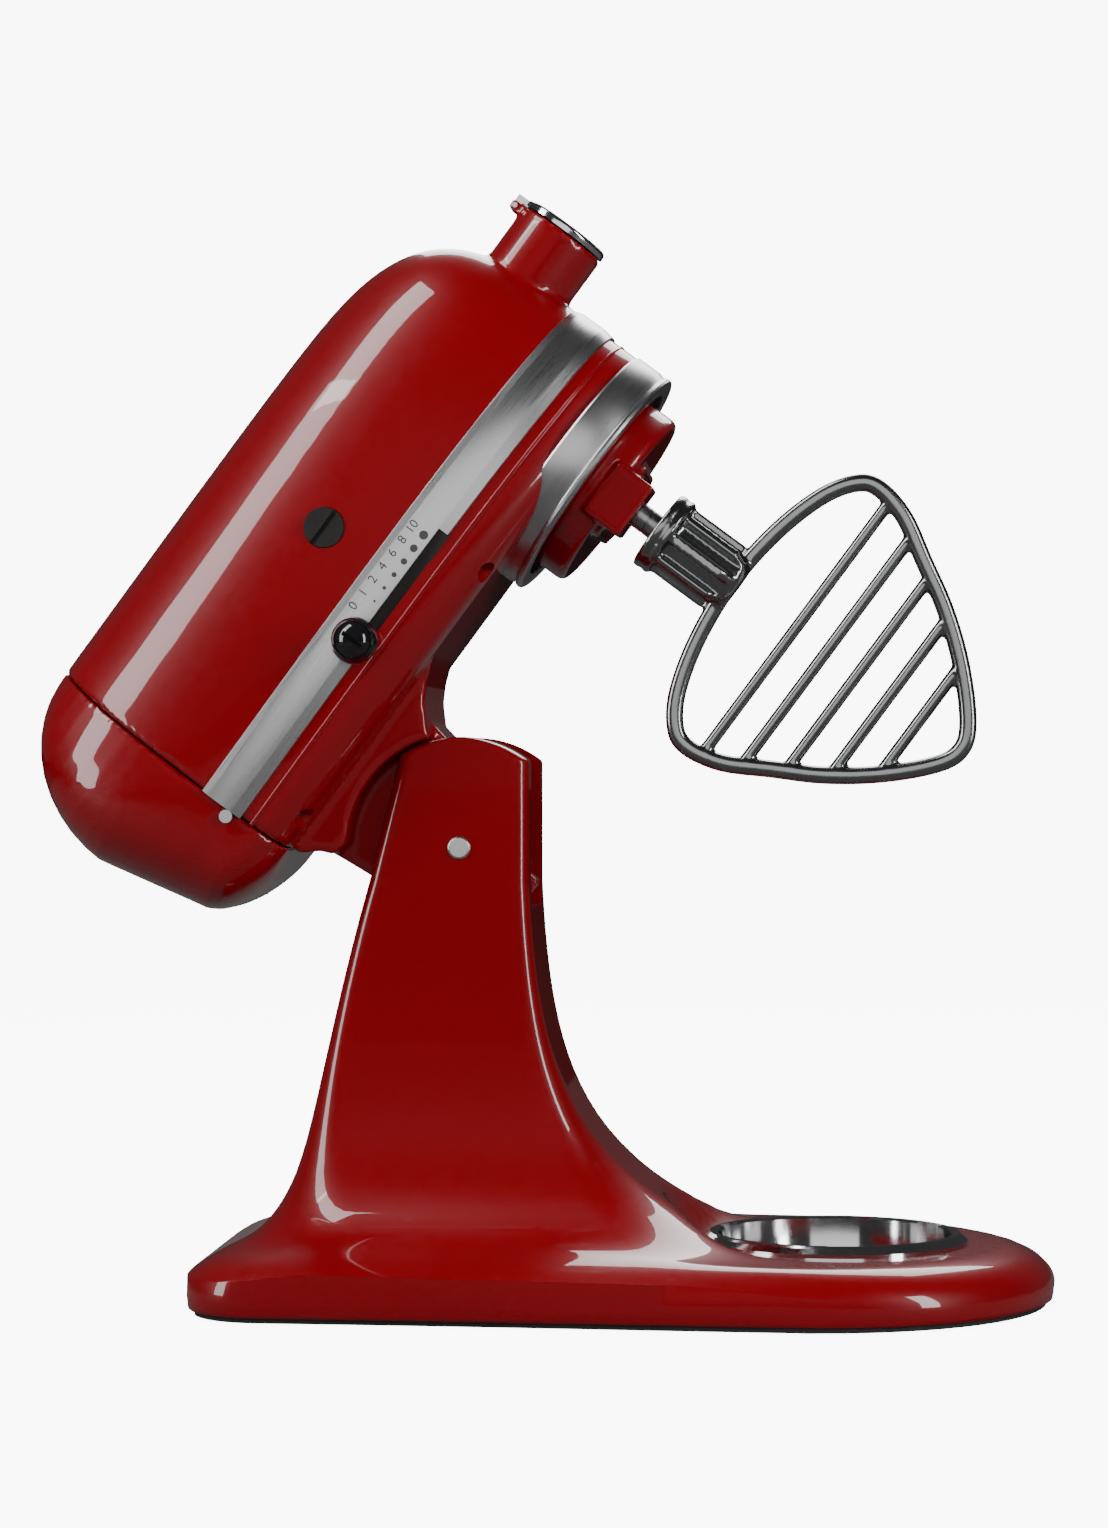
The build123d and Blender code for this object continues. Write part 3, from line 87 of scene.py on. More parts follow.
def head(u, y, v):
    """A point of the head, in millimetres from the hinge, in the row's frame."""
    return hinge + (forward * u + sideways * y + upward * v) * MM


# ---------------------------------------------------------------- materials
def material(name, color, roughness, metallic=0.0, coat=0.0, coat_roughness=0.03):
    """A material with a Principled shader; returns it with its node tree and shader."""
    made = bpy.data.materials.new(name)
    made.use_nodes = True
    shader = made.node_tree.nodes["Principled BSDF"]
    shader.inputs["Base Color"].default_value = (*color, 1.0)
    shader.inputs["Roughness"].default_value = roughness
    shader.inputs["Metallic"].default_value = metallic
    shader.inputs["Coat Weight"].default_value = coat
    shader.inputs["Coat Roughness"].default_value = coat_roughness
    return made, made.node_tree, shader


def noise(tree, scale, detail=3.0, stretch=(1.0, 1.0, 1.0), turn=(0.0, 0.0, 0.0)):
    """A noise texture on the object's own coordinates, stretched and turned."""
    place = tree.nodes.new("ShaderNodeTexCoord")
    mapping = tree.nodes.new("ShaderNodeMapping")
    mapping.vector_type = "TEXTURE"
    mapping.inputs["Scale"].default_value = tuple(1.0 / share for share in stretch)
    mapping.inputs["Rotation"].default_value = turn
    texture = tree.nodes.new("ShaderNodeTexNoise")
    texture.inputs["Scale"].default_value = scale
    texture.inputs["Detail"].default_value = detail
    tree.links.new(place.outputs["Object"], mapping.inputs["Vector"])
    tree.links.new(mapping.outputs["Vector"], texture.inputs["Vector"])
    return texture.outputs["Fac"]


def ranged(tree, value, low, high):
    """A value from 0 to 1 mapped to low to high."""
    node = tree.nodes.new("ShaderNodeMapRange")
    node.inputs["From Min"].default_value = 0.25
    node.inputs["From Max"].default_value = 0.75
    node.inputs["To Min"].default_value = low
    node.inputs["To Max"].default_value = high
    tree.links.new(value, node.inputs["Value"])
    return node.outputs["Result"]


def blend_color(tree, value, first, second):
    """A colour between two, as the value goes from 0 to 1."""
    node = tree.nodes.new("ShaderNodeMix")
    node.data_type = "RGBA"
    node.inputs[6].default_value = (*first, 1.0)
    node.inputs[7].default_value = (*second, 1.0)
    tree.links.new(value, node.inputs[0])
    return node.outputs[2]


def bump(tree, shader, value, strength, distance):
    """Bump from a value, on the shader's normal."""
    node = tree.nodes.new("ShaderNodeBump")
    node.inputs["Strength"].default_value = strength
    node.inputs["Distance"].default_value = distance
    tree.links.new(value, node.inputs["Height"])
    tree.links.new(node.outputs["Normal"], shader.inputs["Normal"])


def enamel():
    """Deep red enamel: an even colour under a clear coat, with a faint orange peel."""
    made, tree, shader = material("red_enamel_paint", (0.22, 0.0, 0.004), 0.34, coat=1.0)
    shader.inputs["Specular IOR Level"].default_value = 0.25
    shader.inputs["Coat IOR"].default_value = 1.55
    tone = noise(tree, 9.0)
    tree.links.new(blend_color(tree, tone, (0.20, 0.0, 0.0035), (0.24, 0.0, 0.0045)),
                   shader.inputs["Base Color"])
    tree.links.new(ranged(tree, noise(tree, 260.0, 2.0), 0.30, 0.38), shader.inputs["Roughness"])
    bump(tree, shader, noise(tree, 420.0, 1.0), 0.02, 0.0002)
    return made


def metal(name, color, roughness, spread, stretch=(1.0, 1.0, 1.0), grain=700.0, depth=0.06,
          turn=(0.0, 0.0, 0.0)):
    """A metal whose roughness and grain vary, brushed where the noise is stretched."""
    made, tree, shader = material(name, color, roughness, metallic=1.0)
    streaks = noise(tree, grain, 4.0, stretch, turn)
    tree.links.new(ranged(tree, streaks, roughness - spread, roughness + spread),
                   shader.inputs["Roughness"])
    darker = tuple(0.88 * value for value in color)
    tree.links.new(blend_color(tree, streaks, darker, color), shader.inputs["Base Color"])
    bump(tree, shader, streaks, depth, 0.0001)
    return made


def plastic(name, color, roughness, coat=0.0, grain=500.0, depth=0.08):
    """Moulded plastic or rubber with a fine grain."""
    made, tree, shader = material(name, color, roughness, coat=coat)
    texture = noise(tree, grain, 3.0)
    tree.links.new(ranged(tree, texture, roughness * 0.85, min(1.0, roughness * 1.15)),
                   shader.inputs["Roughness"])
    lighter = tuple(min(1.0, 1.25 * value + 0.002) for value in color)
    tree.links.new(blend_color(tree, texture, color, lighter), shader.inputs["Base Color"])
    bump(tree, shader, texture, depth, 0.0001)
    return made


along_head = (0.0, -tilt, 0.0)
brushed = (0.02, 0.02, 1.0)     # lines that run round the head
looks = {
    "red_enamel": enamel(),
    "chrome": metal("polished_chrome", (0.80, 0.80, 0.81), 0.10, 0.03, grain=40.0, depth=0.01),
    "brushed_steel": metal("brushed_steel_trim", (0.66, 0.66, 0.67), 0.30, 0.05, brushed,
                           2600.0, 0.03, along_head),
    "polished_casting": metal("polished_casting_metal", (0.33, 0.335, 0.34), 0.20, 0.04, grain=90.0,
                              depth=0.02),
    "gloss_black": plastic("gloss_black_plastic", (0.006, 0.006, 0.007), 0.10, 0.6, 60.0, 0.01),
    "matte_black": plastic("matte_black_plastic", (0.013, 0.012, 0.011), 0.55),
    "rubber": plastic("foot_rubber", (0.02, 0.02, 0.02), 0.85, 0.0, 300.0, 0.2),
    "gear_steel": metal("machined_steel", (0.36, 0.36, 0.37), 0.32, 0.08),
    "iron": metal("laminated_iron", (0.16, 0.155, 0.15), 0.5, 0.1, (1.0, 1.0, 1.0), 900.0, 0.1),
    "copper": metal("copper_winding", (0.62, 0.26, 0.10), 0.35, 0.08, grain=1500.0, depth=0.3),
    "bronze": metal("sintered_bronze", (0.50, 0.34, 0.16), 0.45, 0.08),
    "casting": metal("bare_casting", (0.42, 0.42, 0.43), 0.55, 0.1, grain=350.0, depth=0.2),
    "nylon": plastic("moulded_nylon", (0.72, 0.68, 0.56), 0.5),
    "gasket": plastic("gasket_sheet", (0.10, 0.08, 0.05), 0.9),
    "board": plastic("circuit_board", (0.01, 0.08, 0.03), 0.4),
    "dial_ink": plastic("dial_ink", (0.05, 0.05, 0.055), 0.45),
    "brushed_ring": metal("brushed_ring_metal", (0.60, 0.60, 0.61), 0.32, 0.06, brushed,
                          2400.0, 0.03, along_head),
}

metal_looks = ("chrome", "brushed_steel", "brushed_ring", "polished_casting", "gear_steel")
slot_of = {entry["node"]: entry["material_slot"] for entry in frame["record"]["subparts"]}
for name, node in nodes.items():
    node.data.materials.clear()
    node.data.materials.append(looks[slot_of[name]])

# ---------------------------------------------------------------- sizes, in millimetres
base_rear_x = -137.0
base_length = 341.0
base_nose_radius = 95.0
base_rear_half = 88.0
base_corner = 30.0
base_low = 3.0
base_top = 24.0
shoulder_rise = 15.0            # height and depth of the base's rounded shoulder
shoulder_reach = 24.0
blend_height = 3.0              # softness of the line where the column meets the base
clamp_x = 116.0
clamp_radius = 50.6
scoop_start = 53.0              # the column's foot is scooped out round the bowl clamp
scoop_end = 69.0
ear_radius = 44.0
ear_front_height = 34.6
ear_slot = 48.0
slot_floor = 24.0
ear_foot = -13.8                # where the ears begin, from the hinge
ear_rear = 36.4
ear_front = 27.4
ear_rear_slope = 0.245          # how far the ears' rear edge comes forward with height
ear_corner = 5.5
column_half = 38.0
column_rear = 40.8              # the column's rear face below the ears, from the hinge
column_rear_slope = 0.204
column_corner = 5.2
toe_reach = 94.0                # the column's foot spreads forward, to the rear and sideways
toe_fade = 36.0
toe_height = 145.0
heel_reach = 20.0
heel_fade = 14.0
foot_spread = 42.0
foot_fade = 20.0
foot_corner = 40.0              # and its corners grow rounder
corner_fade = 30.0
hinge_x_mm = hinge.x / MM
hinge_z_mm = hinge.z / MM

head_half = 62.0
head_top = 173.4
crown_start = 96.0
belly_u = 40.0
nose_u = 199.3
seam_u = -40.0
split_v = 84.0
case_low = 53.3
case_floor_half = 44.0
case_step = 0.6                 # the gear case stands inside the motor housing's edge
belly_v = 70.0
nose_start = 100.0
hub_v = 117.0
hub_radius = 19.0
hub_bore = 14.3
hub_end = 221.7
bowl_u = 148.0
socket_y = -28.5
commutator_u = 70.6
motor_v = 115.5
brush_port = 8.15
tongue_radius = 22.0            # the head's tongue round the hinge pin
tongue_half = 23.6
screw_pocket = 4.5


# ---------------------------------------------------------------- mesh helpers
def piece(name, mesh, slot, body, replaced=(), angle=35.0, look=None):
    """A visible piece: its mesh, finish, body and the CAD nodes that it stands for."""
    made = bpy.data.objects.new(name, mesh)
    bpy.context.collection.objects.link(made)
    mesh.materials.clear()
    mesh.materials.append(looks[look or slot])
    mesh.polygons.foreach_set("use_smooth", [True] * len(mesh.polygons))
    mesh.set_sharp_from_angle(angle=radians(angle))
    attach(made, body)
    if replaced:
        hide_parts(*replaced)
    return made


def lofted(rings, closed=True):
    """A closed mesh through rings of points with equal counts, capped at both ends."""
    mesh = bpy.data.meshes.new("loft")
    count = len(rings[0])
    points = [tuple(point) for ring in rings for point in ring]
    faces = []
    for ring in range(len(rings) - 1):
        for index in range(count if closed else count - 1):
            following = (index + 1) % count
            faces.append((ring * count + index, ring * count + following,
                          (ring + 1) * count + following, (ring + 1) * count + index))
    if closed:
        faces.append(tuple(reversed(range(count))))
        faces.append(tuple((len(rings) - 1) * count + index for index in range(count)))
    mesh.from_pydata(points, [], faces)
    bm = bmesh.new()
    bm.from_mesh(mesh)
    bmesh.ops.recalc_face_normals(bm, faces=bm.faces)
    bm.to_mesh(mesh)
    bm.free()
    return mesh


def turned(profile, place, count=96):
    """A closed mesh of revolution: (radius, height) points, with place(x, y, h) to the row."""
    rings = []
    for radius, height in profile:
        radius = max(radius, 0.01)
        rings.append([place(radius * cos(2 * pi * turn / count), radius * sin(2 * pi * turn / count),
                            height) for turn in range(count)])
    return lofted(rings)


def swept(path, section, closed=True):
    """A closed mesh of a section carried along a path of (point, side, up) frames."""
    rings = [[point + side * a + up * b for a, b in section] for point, side, up in path]
    mesh = bpy.data.meshes.new("sweep")
    count = len(section)
    total = len(rings)
    faces = []
    for ring in range(total if closed else total - 1):
        after = (ring + 1) % total
        for index in range(count):
            following = (index + 1) % count
            faces.append((ring * count + index, ring * count + following,
                          after * count + following, after * count + index))
    if not closed:
        faces.append(tuple(reversed(range(count))))
        faces.append(tuple((total - 1) * count + index for index in range(count)))
    mesh.from_pydata([tuple(point) for ring in rings for point in ring], [], faces)
    bm = bmesh.new()
    bm.from_mesh(mesh)
    bmesh.ops.recalc_face_normals(bm, faces=bm.faces)
    bm.to_mesh(mesh)
    bm.free()
    return mesh


def prism(outline, place, low, high):
    """A closed mesh: an outline of (a, b) points at two depths of place(a, depth, b)."""
    return lofted([[place(a, low, b) for a, b in outline], [place(a, high, b) for a, b in outline]])


def cylinder(start, end, radius, count=64):
    """A closed round bar between two points of the row."""
    start = Vector(start)
    axis = (Vector(end) - start).normalized()
    side = axis.orthogonal().normalized()
    other = axis.cross(side)
    rings = []
    for centre in (start, Vector(end)):
        rings.append([centre + (side * cos(2 * pi * turn / count) + other * sin(2 * pi * turn / count))
                      * radius * MM for turn in range(count)])
    return lofted(rings)


def box(low, high, place):
    """A closed box between two corners (a, b, c) of place(a, b, c)."""
    outline = [(low[0], low[2]), (high[0], low[2]), (high[0], high[2]), (low[0], high[2])]
    return lofted([[place(a, b, c) for a, c in outline] for b in (low[1], high[1])])


def settled(mesh, kind, **values):
    """A mesh after one modifier."""
    holder = bpy.data.objects.new("holder", mesh)
    bpy.context.collection.objects.link(holder)
    modifier = holder.modifiers.new("step", kind)
    for key, value in values.items():
        setattr(modifier, key, value)
    graph = bpy.context.evaluated_depsgraph_get()
    result = bpy.data.meshes.new_from_object(holder.evaluated_get(graph))
    bpy.data.objects.remove(holder)
    return result


def fused(meshes, voxel, smoothing, factor=0.5):
    """Closed meshes joined to one skin whose inside and outside corners are rounded."""
    bm = bmesh.new()
    for mesh in meshes:
        bm.from_mesh(mesh)
    joined = bpy.data.meshes.new("joined")
    bm.to_mesh(joined)
    bm.free()
    skin = settled(joined, "REMESH", mode="VOXEL", voxel_size=voxel * MM, use_smooth_shade=True)
    return settled(skin, "SMOOTH", factor=factor, iterations=smoothing)


def cut(mesh, cutters):
    """A mesh less each of the closed cutters."""
    for cutter in cutters:
        tool = bpy.data.objects.new("tool", cutter)
        bpy.context.collection.objects.link(tool)
        mesh = settled(mesh, "BOOLEAN", object=tool, operation="DIFFERENCE", solver="EXACT")
        bpy.data.objects.remove(tool)
    return mesh


def row(x, y, z):
    """A point of the row's frame, in metres from millimetres."""
    return Vector((x, y, z)) * MM


# ---------------------------------------------------------------- pedestal
def column_shape(z):
    """Rear, front, half width and corner radius of the column's section at height z."""
    rise = z - base_top
    height = z - hinge_z_mm
    if height > ear_foot:
        front = ear_front
        rear = ear_rear_slope * (height - ear_foot) - ear_rear
        arc = sqrt(max(0.0, ear_radius**2 - height**2))
        if height > ear_front_height:
            front = arc
        return hinge_x_mm + max(rear, -arc), hinge_x_mm + front, column_half, ear_corner
    front = hinge_x_mm + ear_front + toe_reach * (exp(-rise / toe_fade) - exp(-toe_height / toe_fade))
    below = hinge_z_mm + ear_foot - z
    rear = (hinge_x_mm - column_rear + (column_rear - ear_rear) * exp(-below / 50.0)
            - column_rear_slope * below - heel_reach * exp(-rise / heel_fade))
    half = column_half + foot_spread * exp(-rise / foot_fade)
    return rear, front, half, column_corner + foot_corner * exp(-rise / corner_fade)


side_steps = 22
end_steps = 12
corner_steps = 8


def rounded_ring(rear, front, half, corner):
    """Points round a rounded rectangle, with the same count and order at every size."""
    corner = min(corner, half - 0.01, (front - rear) / 2 - 0.01)
    centres = [(front - corner, half - corner, 0), (rear + corner, half - corner, 90),
               (rear + corner, corner - half, 180), (front - corner, corner - half, 270)]
    points = []
    for index, (x, y, start) in enumerate(centres):
        for step in range(corner_steps + 1):
            turn = radians(start + 90.0 * step / corner_steps)
            points.append((x + corner * cos(turn), y + corner * sin(turn)))
        after = centres[(index + 1) % 4]
        turn = radians(start + 90.0)
        first = (x + corner * cos(turn), y + corner * sin(turn))
        last = (after[0] + corner * cos(turn), after[1] + corner * sin(turn))
        steps = side_steps if index % 2 == 0 else end_steps
        for step in range(1, steps):
            share = step / steps
            points.append((first[0] + (last[0] - first[0]) * share,
                           first[1] + (last[1] - first[1]) * share))
    return points


def ray_to_rounded(turn, centre_x, rear, front, half, corner):
    """Distance from (centre_x, 0) to a rounded rectangle's edge in a direction."""
    dx, dy = cos(turn), abs(sin(turn))
    side = front - centre_x if dx > 0 else centre_x - rear
    dx = max(abs(dx), 1e-9)
    dy = max(dy, 1e-9)
    reach = side / dx
    if reach * dy <= half - corner:
        return reach
    reach = half / dy
    if reach * dx <= side - corner:
        return reach
    a, b = side - corner, half - corner
    middle = dx * a + dy * b
    return middle + sqrt(max(0.0, middle**2 - a * a - b * b + corner * corner))


def base_support(turn, centre_x):
    """How far the base's plan reaches in a direction: the hull of its nose and corner circles."""
    nose_x = base_rear_x + base_length - base_nose_radius
    rear_x = base_rear_x + base_corner
    circles = [(nose_x, 0.0, base_nose_radius), (rear_x, base_rear_half - base_corner, base_corner),
               (rear_x, base_corner - base_rear_half, base_corner)]
    return max((x - centre_x) * cos(turn) + y * sin(turn) + radius for x, y, radius in circles)


support_turns = [radians(step) for step in range(360)]
column_centre = -38.0
base_supports = [base_support(turn, column_centre) for turn in support_turns]


def ray_to_base(turn):
    """Distance from the column's centre to the base's edge in a direction."""
    return min(reach / cos(turn - facing) for facing, reach in zip(support_turns, base_supports)
               if cos(turn - facing) > 0.05)


def column_height(turn, reach):
    """Height above the base's top at which the column's flare has a given reach."""
    low, high = -60.0, 40.0
    for _ in range(24):
        middle = (low + high) / 2
        if ray_to_rounded(turn, column_centre, *column_shape(base_top + middle)) > reach:
            low = middle
        else:
            high = middle
    return low


def smooth_step(low, high, value):
    """0 below low, 1 above high, and an even curve between."""
    share = min(1.0, max(0.0, (value - low) / (high - low)))
    return share * share * (3.0 - 2.0 * share)


def pedestal_mesh():
    """One skin from the base's rim over its shoulder and up the column to the ears."""
    join_z = base_top + 30.0
    foot = rounded_ring(*column_shape(join_z))
    rays = [(atan2(y, x - column_centre), hypot(x - column_centre, y)) for x, y in foot]
    edges = [ray_to_base(turn) for turn, _ in rays]

    def around(reaches, heights):
        return [row(column_centre + reach * cos(turn), reach * sin(turn), z)
                for (turn, _), reach, z in zip(rays, reaches, heights)]

    shoulder_z = base_top - shoulder_rise
    rings = [around([edge - inset for edge in edges], [z] * len(edges))
             for inset, z in ((2.2, base_low), (1.0, base_low + 0.4), (0.5, base_low + 1.6),
                             (0.0, shoulder_z))]
    shoulder_rings, top_rings = 12, 30
    for step in range(1, shoulder_rings + top_rings + 1):
        reaches, heights = [], []
        for (turn, foot_reach), edge in zip(rays, edges):
            if step <= shoulder_rings:
                angle = pi / 2 * step / shoulder_rings
                reach = edge - shoulder_reach * (1 - cos(angle))
                ground = shoulder_z + shoulder_rise * sin(angle)
            else:
                share = (step - shoulder_rings) / top_rings
                start = edge - shoulder_reach
                reach = start + (foot_reach - start) * share
                ground = base_top
            flare = base_top + column_height(turn, reach)
            softened = log(1 + exp(-abs(ground - flare) / blend_height))
            height = max(ground, flare) + blend_height * softened
            x = column_centre + reach * cos(turn)
            away = hypot(x - clamp_x, reach * sin(turn))
            height = ground + (height - ground) * smooth_step(scoop_start, scoop_end, away)
            reaches.append(reach)
            heights.append(height)
        rings.append(around(reaches, heights))
    z_levels = [join_z + 6.0 * step for step in range(1, 20)] + [hinge_z_mm + ear_foot]
    low_angle, top_angle, ear_steps = -18.2, degrees(atan2(0.999, 0.0447)), 60
    z_levels += [hinge_z_mm + ear_radius
                 * sin(radians(low_angle + (top_angle - low_angle) * step / ear_steps))
                 for step in range(1, ear_steps + 1)]
    for z in sorted(z_levels):
        rings.append([row(x, y, z) for x, y in rounded_ring(*column_shape(z))])
    mesh = lofted(rings)
    slot = box((-140, -ear_slot / 2, hinge_z_mm - slot_floor),
               (70, ear_slot / 2, hinge_z_mm + 60), row)
    pocket = cylinder(row(clamp_x, 0, 11.0), row(clamp_x, 0, 60.0), clamp_radius, 128)
    return cut(mesh, [slot, pocket])


piece("pedestal", pedestal_mesh(), "red_enamel", "base", ("base_casting", "column_casting"), 50.0)


# ---------------------------------------------------------------- head shells
def bulge(share, power):
    """Height of a superellipse of a power at a share of its half length."""
    return max(0.0, 1.0 - min(share, 1.0) ** power) ** (1.0 / power)


def dome_share(v):
    """How far up the dome a height is: 0 where it starts to round over, 1 just above its top."""
    return max(0.0, v - crown_start) / (head_top + 0.2 - crown_start)


def dome_half(v):
    """Half the dome's width at height v."""
    return head_half * bulge(dome_share(v), 2.3)


def dome_front(v):
    """How far forward the dome reaches at height v."""
    return nose_start + (nose_u - nose_start) * bulge(dome_share(v), 3.4)


def case_half(v):
    """Half the gear case's width at height v, drawn in towards its lower edge."""
    rounding = max(0.0, belly_v - v) / (belly_v - case_low)
    return case_floor_half + (head_half - case_step - case_floor_half) * bulge(rounding, 2.2)


def side_line(half, front, rear=seam_u, count=40):
    """One side of the head's plan, from the rear to the middle of the nose."""
    line = []
    for step in range(12):
        u = rear + (belly_u - rear) * step / 12
        line.append((u, half * (1.0 - 0.05 * ((belly_u - u) / (belly_u - seam_u)) ** 1.7)))
    for step in range(count + 1):
        turn = pi / 2 * (1.0 - step / count)
        line.append((belly_u + (front - belly_u) * cos(turn) ** 0.8, half * sin(turn) ** 0.8))
    return line


def head_ring(v, half, front):
    """The head's plan at height v, as a closed ring."""
    side = side_line(half, front)
    return [head(u, -y, v) for u, y in side] + [head(u, y, v) for u, y in reversed(side[:-1])]


def crown_levels(low, count=26):
    """Heights from the split to the crown, closer together towards the top."""
    return [head_top - (head_top - low) * (1 - step / count) ** 2 for step in range(count + 1)]


def housing_mesh():
    """The motor housing: a domed shell with the attachment hub's barrel and its hinge's ears."""
    dome = lofted([head_ring(v, dome_half(v), dome_front(v)) for v in crown_levels(split_v + 0.4)])
    barrel = cylinder(head(170, 0, hub_v), head(hub_end, 0, hub_v), hub_radius)
    hub_top = hub_v + hub_radius
    ears = [box((hub_end - 4.7, y - 1.5, hub_top - 4), (hub_end - 0.1, y + 1.5, hub_top + 5.1), head)
            for y in (-5.4, 5.4)]
    knob_boss = cylinder(head(207, 12, hub_v), head(207, 21, hub_v), 8.0)
    skin = fused([dome, barrel, knob_boss] + ears, 1.25, 9)
    bore = cylinder(head(196, 0, hub_v), head(hub_end + 3, 0, hub_v), hub_bore)
    ports = [cylinder(head(commutator_u, side * 57.0, motor_v),
                      head(commutator_u, side * 66.0, motor_v), brush_port) for side in (-1, 1)]
    return cut(skin, [bore] + ports)


piece("motor_housing_shell", housing_mesh(), "red_enamel", "head", ("motor_housing",), 50.0)


def case_mesh():
    """The gear case with its neck, the tongue between the ears and the skirt's recess."""
    levels = [53.3, 54.0, 55.0, 56.5, 58.5, 61.0, 64.0, 67.0, 70.0, 75.0, split_v - 0.4]
    body = lofted([head_ring(v, case_half(v), nose_u - 0.6) for v in levels])
    recess = [(45.0 * cos(radians(turn)), 45.0 * sin(radians(turn))) for turn in range(52, 126, 4)]
    cheek = [(seam_u, 60.0), (66.0, 60.0), (60.0, 55.2), (52.0, 52.6), (45.0, 49.8), (38.5, 46.0),
             (33.0, 41.0)] + recess + [(-32.3, 38.5), (-34.0, 43.4), (-38.0, 48.0), (seam_u, 49.5)]
    cheeks = prism(cheek, head, -38.0, 38.0)
    hinge_round = [(tongue_radius * cos(radians(turn)), tongue_radius * sin(radians(turn)))
                   for turn in range(180, 361, 6)]
    tongue = prism(hinge_round + [(28.0, 14.0), (34.0, 48.0), (-34.0, 48.0), (-31.0, 19.0)], head,
                   -tongue_half, tongue_half)
    tooth = prism([(-6.0, -32.0), (6.0, -32.0), (8.0, -10.0), (-8.0, -10.0)], head, -8.0, 8.0)
    skin = fused([body, cheeks, tongue, tooth], 1.2, 10)
    planetary_recess = cylinder(head(bowl_u, 0, 45.0), head(bowl_u, 0, 62.0), 51.75, 128)
    slot = box((38.7, -80.0, 74.2), (97.0, -50.0, 78.8), head)
    pockets = [cylinder(head(u, y, 45.0), head(u, y, 61.5), screw_pocket)
               for u in (-26.0, 94.0) for y in (-50.0, 50.0)]
    return cut(skin, [planetary_recess, slot] + pockets)


piece("gear_case_shell", case_mesh(), "red_enamel", "head", ("gear_case",), 50.0)


def cover_reach(v):
    """How far the end cover stands behind the seam at height v."""
    if v >= 115.0:
        return 52.6 * bulge((v - 115.0) / (head_top + 0.2 - 115.0), 2.0)
    if v >= 72.0:
        return 52.6 - 0.235 * (115.0 - v)
    return 1.6 + 40.9 * bulge((72.0 - v) / 20.0, 2.0)


def cover_ring(v):
    """The end cover's plan at height v: a boxy shape that closes to the rear."""
    full = dome_half(v) if v > split_v else case_half(max(v, case_low))
    half = 0.95 * full - 1.2
    reach = cover_reach(v)
    seam = seam_u - 0.4
    side = [(seam, half)]
    for step in range(1, 31):
        turn = pi / 2 * (1 - step / 30)
        side.append((seam - reach * cos(turn) ** 0.625, half * sin(turn) ** 0.625))
    return [head(u, -y, v) for u, y in side] + [head(u, y, v) for u, y in reversed(side[:-1])]


def cover_mesh():
    """The end cover: a shell lofted through its plans, rounded over, with its screw's hole."""
    levels = [53.5, 54.5, 56, 58, 61, 64, 68, 72, 78, 85, 92, 100, 108, 115, 122, 130, 138, 146,
              153, 159, 164, 168, 170.5, 172.6]
    skin = fused([lofted([cover_ring(v) for v in levels])], 1.2, 5)
    rear = seam_u - 0.4 - cover_reach(97.0)
    return cut(skin, [cylinder(head(rear - 6.0, 0, 97.0), head(rear + 4.0, 0, 97.0), 4.2)])


piece("end_cover_shell", cover_mesh(), "red_enamel", "head", ("end_cover",), 50.0)

# ---------------------------------------------------------------- trim band and its marks
band_low = 74.5
band_profile = [(-0.8, 0.0), (0.2, 0.0), (0.42, 0.25), (1.15, 4.4), (1.2, 4.7), (1.2, 15.4),
                (1.12, 15.7), (0.42, 18.3), (0.2, 18.5), (-0.8, 18.5)]


def head_path(half, front, v, rear):
    """Frames round the head at height v: a point, the way out and the way up."""
    side = side_line(half, front, rear, 60)
    line = [(u, -y) for u, y in side] + [(u, y) for u, y in reversed(side[:-1])]
    frames = []
    for index, (u, y) in enumerate(line):
        before = line[max(index - 1, 0)]
        after = line[min(index + 1, len(line) - 1)]
        along = Vector((after[0] - before[0], after[1] - before[1])).normalized()
        out = forward * along.y - sideways * along.x
        frames.append((head(u, y, v), out * MM, upward * MM))
    return frames


def band_mesh():
    """The trim band round the head, with the speed lever's slot."""
    body = swept(head_path(head_half, nose_u, band_low, seam_u - 0.6), band_profile, closed=False)
    slot = box((38.7, -80.0, 74.0), (97.0, -50.0, 78.8), head)
    return cut(body, [slot])


piece("trim_band_bevelled", band_mesh(), "brushed_steel", "head", ("trim_band",), 25.0)
piece("slot_liner", box((38.0, -60.4, 73.9), (97.6, -58.6, 79.1), head), "matte_black", "head")
bead = [(0.55 * cos(radians(turn)) - 0.1, 0.8 * sin(radians(turn))) for turn in range(0, 360, 30)]
piece("case_bead", swept(head_path(case_half(69.5), nose_u - 0.6, 69.5, seam_u), bead, closed=False),
      "red_enamel", "head")


def band_side(u):
    """The band's outer face on the near side at u: y, and the turn of the surface there."""
    def outer(at):
        share = max(0.0, (at - belly_u) / (nose_u - belly_u))
        return -(head_half * bulge(share, 2.5) + 1.2)
    return outer(u), atan2(outer(u + 1.0) - outer(u - 1.0), 2.0)


def mark_frame(u, v, lift):
    """Axes of a mark on the band: along it, up it and out of it, lifted off its face."""
    y, turn = band_side(u)
    along = (forward * cos(turn) + sideways * sin(turn)).normalized()
    out = along.cross(upward).normalized()
    if out.y > 0:
        out = -out
    spot = head(u, y, v) + out * lift * MM
    turned_axes = Matrix((along, upward, out)).transposed().to_4x4()
    turned_axes.translation = spot
    return turned_axes


